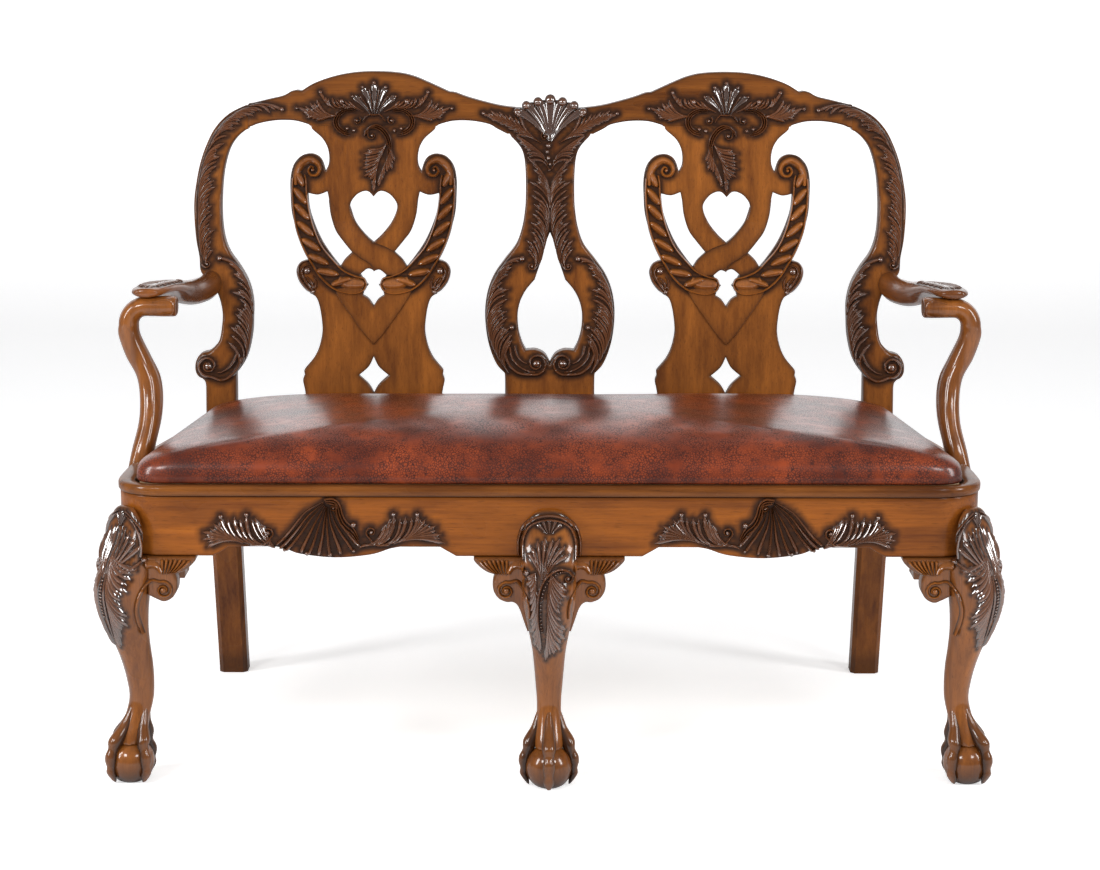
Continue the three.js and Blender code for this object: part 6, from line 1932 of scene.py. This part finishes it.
rope_path = [
    (-40, 681, 10), (-58, 686, 11), (-76, 699, 11.5), (-91, 720, 11.5), (-103, 744, 11.5), (-112, 770, 11.5),
    (-118, 800, 11), (-121, 830, 10.5), (-121.5, 850, 9), (-118, 864, 6),
]
outer_rim = [
    (-12, 680), (-16, 671), (-28, 665), (-46, 666), (-66, 673), (-86, 690), (-102, 714), (-115, 738),
    (-126, 768), (-131.5, 800), (-133.5, 830), (-132.5, 853),
]
inner_rim = [
    (-12, 680), (-16, 689), (-30, 693), (-50, 702), (-67, 719), (-85.5, 741.5), (-98, 769), (-106, 797),
    (-110, 826), (-111, 846), (-113, 858),
]
rope_scroll = [
    (-128, 842, 4), (-127, 858, 6), (-120, 873, 7), (-106, 882, 6.5), (-93, 877, 5), (-88.5, 867, 4),
    (-93, 858, 3.3), (-102, 857, 2.8), (-107, 864, 2.5), (-103, 871, 2.2), (-98, 869, 1.6),
]
ropes = new_shape()
lay_mirrored = lambda u, v, out: on_back(-u - CHAIR_X, v, out)
for surface in (lay, lay_mirrored):
    rope(ropes, rope_path, surface)
    reed(ropes, outer_rim, 2.2, 6, surface, shape=even)
    reed(ropes, inner_rim, 1.9, 5.5, surface, shape=even)
    reed(ropes, rope_scroll, None, 7, surface, shape=even, dark=0.8)
    bead(ropes, (-100, 866), 3, surface, rise=6)
    cap = [(-15, 680, 5), (-20, 680, 9), (-30, 680, 11), (-44, 681, 10), (-58, 687, 6)]
    stroke(ropes, through(cap, 4), None, 5.5, surface, shape=even, dark=0.7)
rope_pieces = finished_pair(ropes, "splat_ropes", walnut_rope, sharp=50)

ears = new_shape()
for surface in (lay, lay_mirrored):
    for line in (
        [(-106, 719), (-119, 715), (-125, 703), (-121, 687), (-110, 673), (-101, 666)],
        [(-104, 712), (-114, 709), (-118, 700), (-113, 686), (-105, 675), (-100, 668)],
        [(-110, 692), (-103, 684), (-99, 671)],
        [(-100, 694), (-95, 684), (-97, 671)],
    ):
        reed(ears, line, 3.4, 5.5, surface, shape=leaf)
    bead(ears, (-109.5, 702), 6.5, surface, rise=7)
    bead(ears, (-100, 668), 4.2, surface, rise=6)
finished_pair(ears, "splat_ears", **CARVED)
print("ropes:", len(rope_pieces[0].data.polygons), "faces each")

# %% Glaze and painted shade round the carving
glaze_and_shade_round(crest_pieces, [*cartouche_pieces, middle_shell_piece, *stile_pieces])
glaze_and_shade_round(plate_pieces, [*cartouche_pieces, *rope_pieces])
glaze_and_shade_round([lyre_piece], [lyre_leaf_piece, middle_shell_piece])
glaze_and_shade_round(post_pieces, stile_pieces)
glaze_and_shade_round([front_rail], panel_pieces)

# %% [markdown]
# ## Leather
# The seat's leather is old and waxed: red-brown, with worn lighter clouds and a dark net of fine
# creases. A soft noise gives the clouds. The borders between the cells of a Voronoi texture give the
# net, which a second noise fades out in patches, and the same net roughens and dents the surface.

# %% Leather


def leather_group():
    tree, given, made = new_group(
        "aged_leather", Position=None, Worn=(0.31, 0.05, 0.01, 1), Deep=(0.098, 0.0145, 0.0045, 1),
        Crease=(0.028, 0.006, 0.004, 1),
    )
    spot = given["Position"]
    clouds = ranged(tree, noisy(tree, spot, 12, Detail=4), 0.35, 0.68)
    body = mixed(tree, clouds, given["Deep"], given["Worn"])
    crooked = add(tree, "TexNoise", {"Vector": spot, "Scale": 90}).outputs["Color"]
    little = (0.006, 0.006, 0.006)
    pushed = add(tree, "VectorMath", {0: crooked, 1: little, 2: spot}, operation="MULTIPLY_ADD")
    net = add(tree, "TexVoronoi", {"Vector": pushed.outputs[0], "Scale": 260}, feature="DISTANCE_TO_EDGE")
    line = ranged(tree, net.outputs["Distance"], 0, 0.19, 1, 0)
    creased = calc(tree, "MULTIPLY", line, ranged(tree, noisy(tree, spot, 38), 0.25, 0.52))
    wire(tree, made, {
        "Color": mixed(tree, creased, body, given["Crease"]),
        "Roughness": ranged(tree, creased, 0, 1, 0.3, 0.55),
        "Height": calc(tree, "MULTIPLY", creased, -1),
    })
    return tree


leather, leather_tree, leather_shader, leather_spot = new_material("leather_aged")
aged = add(leather_tree, "Group", {"Position": leather_spot}, node_tree=leather_group()).outputs
wire(leather_tree, leather_shader, {
    "Base Color": aged["Color"], "Roughness": aged["Roughness"],
    "Normal": dented(leather_tree, aged["Height"], 0.35, 0.0006),
    "Coat Weight": 0.75, "Coat Roughness": 0.23, "Specular IOR Level": 0.15,
})
print("aged leather with", len(leather_tree.nodes), "nodes and its group")

# %% [markdown]
# ## Leather seat
# The drop-in seat is one leather cushion, pulled down tight over its stuffing and tucked under at the
# edge. Rings of its plan outline, stacked up, give the crown, and smoothing its heights takes out the
# folds where the rings turn their corners. A gentle swell, which noise makes, stands for the uneven
# stuffing. At the rear, where no moulding hides the seat's frame, a strip of leather is drawn down.

# %% Outline of the pad
PAD_BOTTOM = REBATE_TOP + 14.3
PAD_CROWN = 77.0
PAD_LIP = 8.0
PAD_RECESS = 3.3
PAD_REAR_RADIUS = 16.0
PAD_HALF_DEPTH = (PAD_REAR_Y - PAD_FRONT_Y) / 2
CROWN_PASSES = 14
pad_shares = [
    (0.012, 0.012, 0), (0, 0, 0.02), (0, 0, 0.09), (0.003, 0.003, 0.19), (0.02, 0.025, 0.35),
    (0.06, 0.12, 0.51), (0.13, 0.34, 0.65), (0.24, 0.7, 0.78), (0.4, 1.15, 0.89), (0.6, 1.6, 0.965),
    (0.82, 2, 1),
]


def pad_ring(inset, side_inset, z, along=26, round_corner=8):
    """One outline of the pad, drawn in, as a ring of places."""
    radius = max(PAD_CORNER - 0.35 * inset, 0.4 * PAD_CORNER)
    front, rear = PAD_FRONT_Y + inset, PAD_REAR_Y - inset
    edge_x = lambda y: pad_side_x(y) - side_inset
    half = []
    for k in range(along + 1):
        half.append((-(edge_x(front) - radius) * k / along, front))
    start, tip = (radius - edge_x(front), front), (-edge_x(front), front)
    end = (-edge_x(front + radius), front + radius)
    half.extend(tuple(spot) for spot in bend(start, tip, end, count=round_corner)[1:])
    rear_radius = min(PAD_REAR_RADIUS, (rear - front) / 4)
    for k in range(1, along // 2 + 1):
        y = front + radius + (rear - rear_radius - front - radius) * k / (along // 2)
        half.append((-edge_x(y), y))
    for k in range(1, 5):
        turn = math.pi / 2 * k / 4
        half.append((
            -edge_x(rear) + rear_radius * (1 - math.cos(turn)),
            rear - rear_radius + rear_radius * math.sin(turn),
        ))
    for k in range(1, along):
        half.append((-(edge_x(rear) - rear_radius) * (1 - k / along), rear))
    half.append((0, rear))
    other = [(-x, y) for x, y in reversed(half[1:-1])]
    return [place(x, y, z) for x, y in half + other]


# %% Cushion
cushion_mesh = new_shape()
lip = PAD_LIP + JOINT_GAP
cushion_rings = [pad_ring(lip, lip, PAD_BOTTOM + PAD_RECESS), pad_ring(PAD_LIP, PAD_LIP, PAD_BOTTOM)]
for inset, side_inset, rise in through(pad_shares, 4):
    inset, side_inset = inset * PAD_HALF_DEPTH, side_inset * PAD_HALF_DEPTH
    cushion_rings.append(pad_ring(inset, side_inset, PAD_BOTTOM + rise * PAD_CROWN))
skin(cushion_mesh, cushion_rings)
crown = [vert for vert in cushion_mesh.verts if vert.co.z > (PAD_BOTTOM + 0.55 * PAD_CROWN) * MM]
smoothed(cushion_mesh, crown, CROWN_PASSES, flat=False)
for vert in cushion_mesh.verts:
    swell = noise.noise(vert.co * 4.1) * 2.2 + noise.noise(vert.co * 11) * 0.8
    vert.co.z += swell * MM * min(max((vert.co.z / MM - PAD_BOTTOM) / PAD_CROWN, 0), 1)
cushion = finished(
    cushion_mesh, "seat_cushion", leather, slot="leather", body="seat", stands_for="seat_pad", sharp=180
)
cushion.data.materials.append(jute)
under = 0
for face in cushion.data.polygons:
    if face.normal.z < -0.9 and face.center.z > (PAD_BOTTOM + 1) * MM:
        face.material_index = 1
        under += 1
print("cushion:", len(cushion.data.polygons), "faces,", under, "of hessian below")

# %% Leather over the rear bar of the seat's frame
TURN_DOWN_HALF = PAD_REAR_HALF - 11
turn_down = new_shape()
block(
    turn_down, -TURN_DOWN_HALF, TURN_DOWN_HALF, PAD_REAR_Y - 2.7, PAD_REAR_Y - 0.5,
    REBATE_TOP + 1, PAD_BOTTOM + 4, rounding=0.8,
)
finished(turn_down, "leather_turn_down", leather, slot="leather", body="seat")
print("turned-down leather,", 2 * TURN_DOWN_HALF, "mm long")

# %% [markdown]
# ## Webbing
# Under the pad, straps of jute webbing are stretched over the seat's frame and woven through each other.
# They show only from below, or when the seat is lifted out. Each strap is a flat tube whose middle line
# goes over one crossing strap and under the next, so a cosine of the place along it gives the wave.

# %% Webbing
STRAP_WIDTH = 50.0
STRAP_THICKNESS = 1.1
WEB_LOW, WEB_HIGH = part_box("seat_webbing")
WEB_X = (WEB_HIGH.x - WEB_LOW.x) / 2 / MM
WEB_Y0, WEB_Y1 = (WEB_LOW.y - RAIL_FACE) / MM, (WEB_HIGH.y - RAIL_FACE) / MM
WEB_Z = (WEB_LOW.z + WEB_HIGH.z) / 2 / MM
LONG_STRAPS, CROSS_STRAPS = 5, 11
CROSS_HALF = pad_side_x(WEB_Y1) - 14
long_pitch = (WEB_Y1 - WEB_Y0) / LONG_STRAPS
cross_pitch = 2 * CROSS_HALF / CROSS_STRAPS
WAVE = 0.75
print("straps of webbing every", round(long_pitch, 1), "and", round(cross_pitch, 1), "mm")

# %% Weaving the straps


def strap_of_webbing(bm, spot, length, pitch, flip, before=0.0):
    """One strap. spot turns a place along it, across it and up into a point.

    before is the strap's length ahead of the first strap that crosses it."""
    rings = []
    steps = int(length / 8)
    for k in range(steps + 1):
        along = length * k / steps
        lift = flip * WAVE * math.cos(math.pi * ((along - before) / pitch - 0.5))
        low, high = lift - STRAP_THICKNESS / 2, lift + STRAP_THICKNESS / 2
        across = [STRAP_WIDTH * (j / 5 - 0.5) for j in range(6)]
        rings.append([spot(along, x, low) for x in across] + [spot(along, x, high) for x in reversed(across)])
    skin(bm, rings)


webbing_mesh = new_shape()
for k in range(LONG_STRAPS):
    y = WEB_Y0 + long_pitch * (k + 0.5)
    inset = PAD_FRONT_HALF - pad_side_x(y) + 1
    strap_of_webbing(
        webbing_mesh, lambda along, across, up: place(along - WEB_X + inset, y + across, WEB_Z + up),
        2 * (WEB_X - inset), cross_pitch, 1 if k % 2 else -1, WEB_X - inset - CROSS_HALF,
    )
for k in range(CROSS_STRAPS):
    x = -CROSS_HALF + cross_pitch * (k + 0.5)
    strap_of_webbing(
        webbing_mesh, lambda along, across, up: place(x + across, WEB_Y0 + along, WEB_Z + up),
        WEB_Y1 - WEB_Y0, long_pitch, -1 if k % 2 else 1,
    )
webbing = finished(webbing_mesh, "jute_webbing", jute, slot="jute", body="seat", stands_for="seat_webbing")
print("webbing:", len(webbing.data.polygons), "faces")
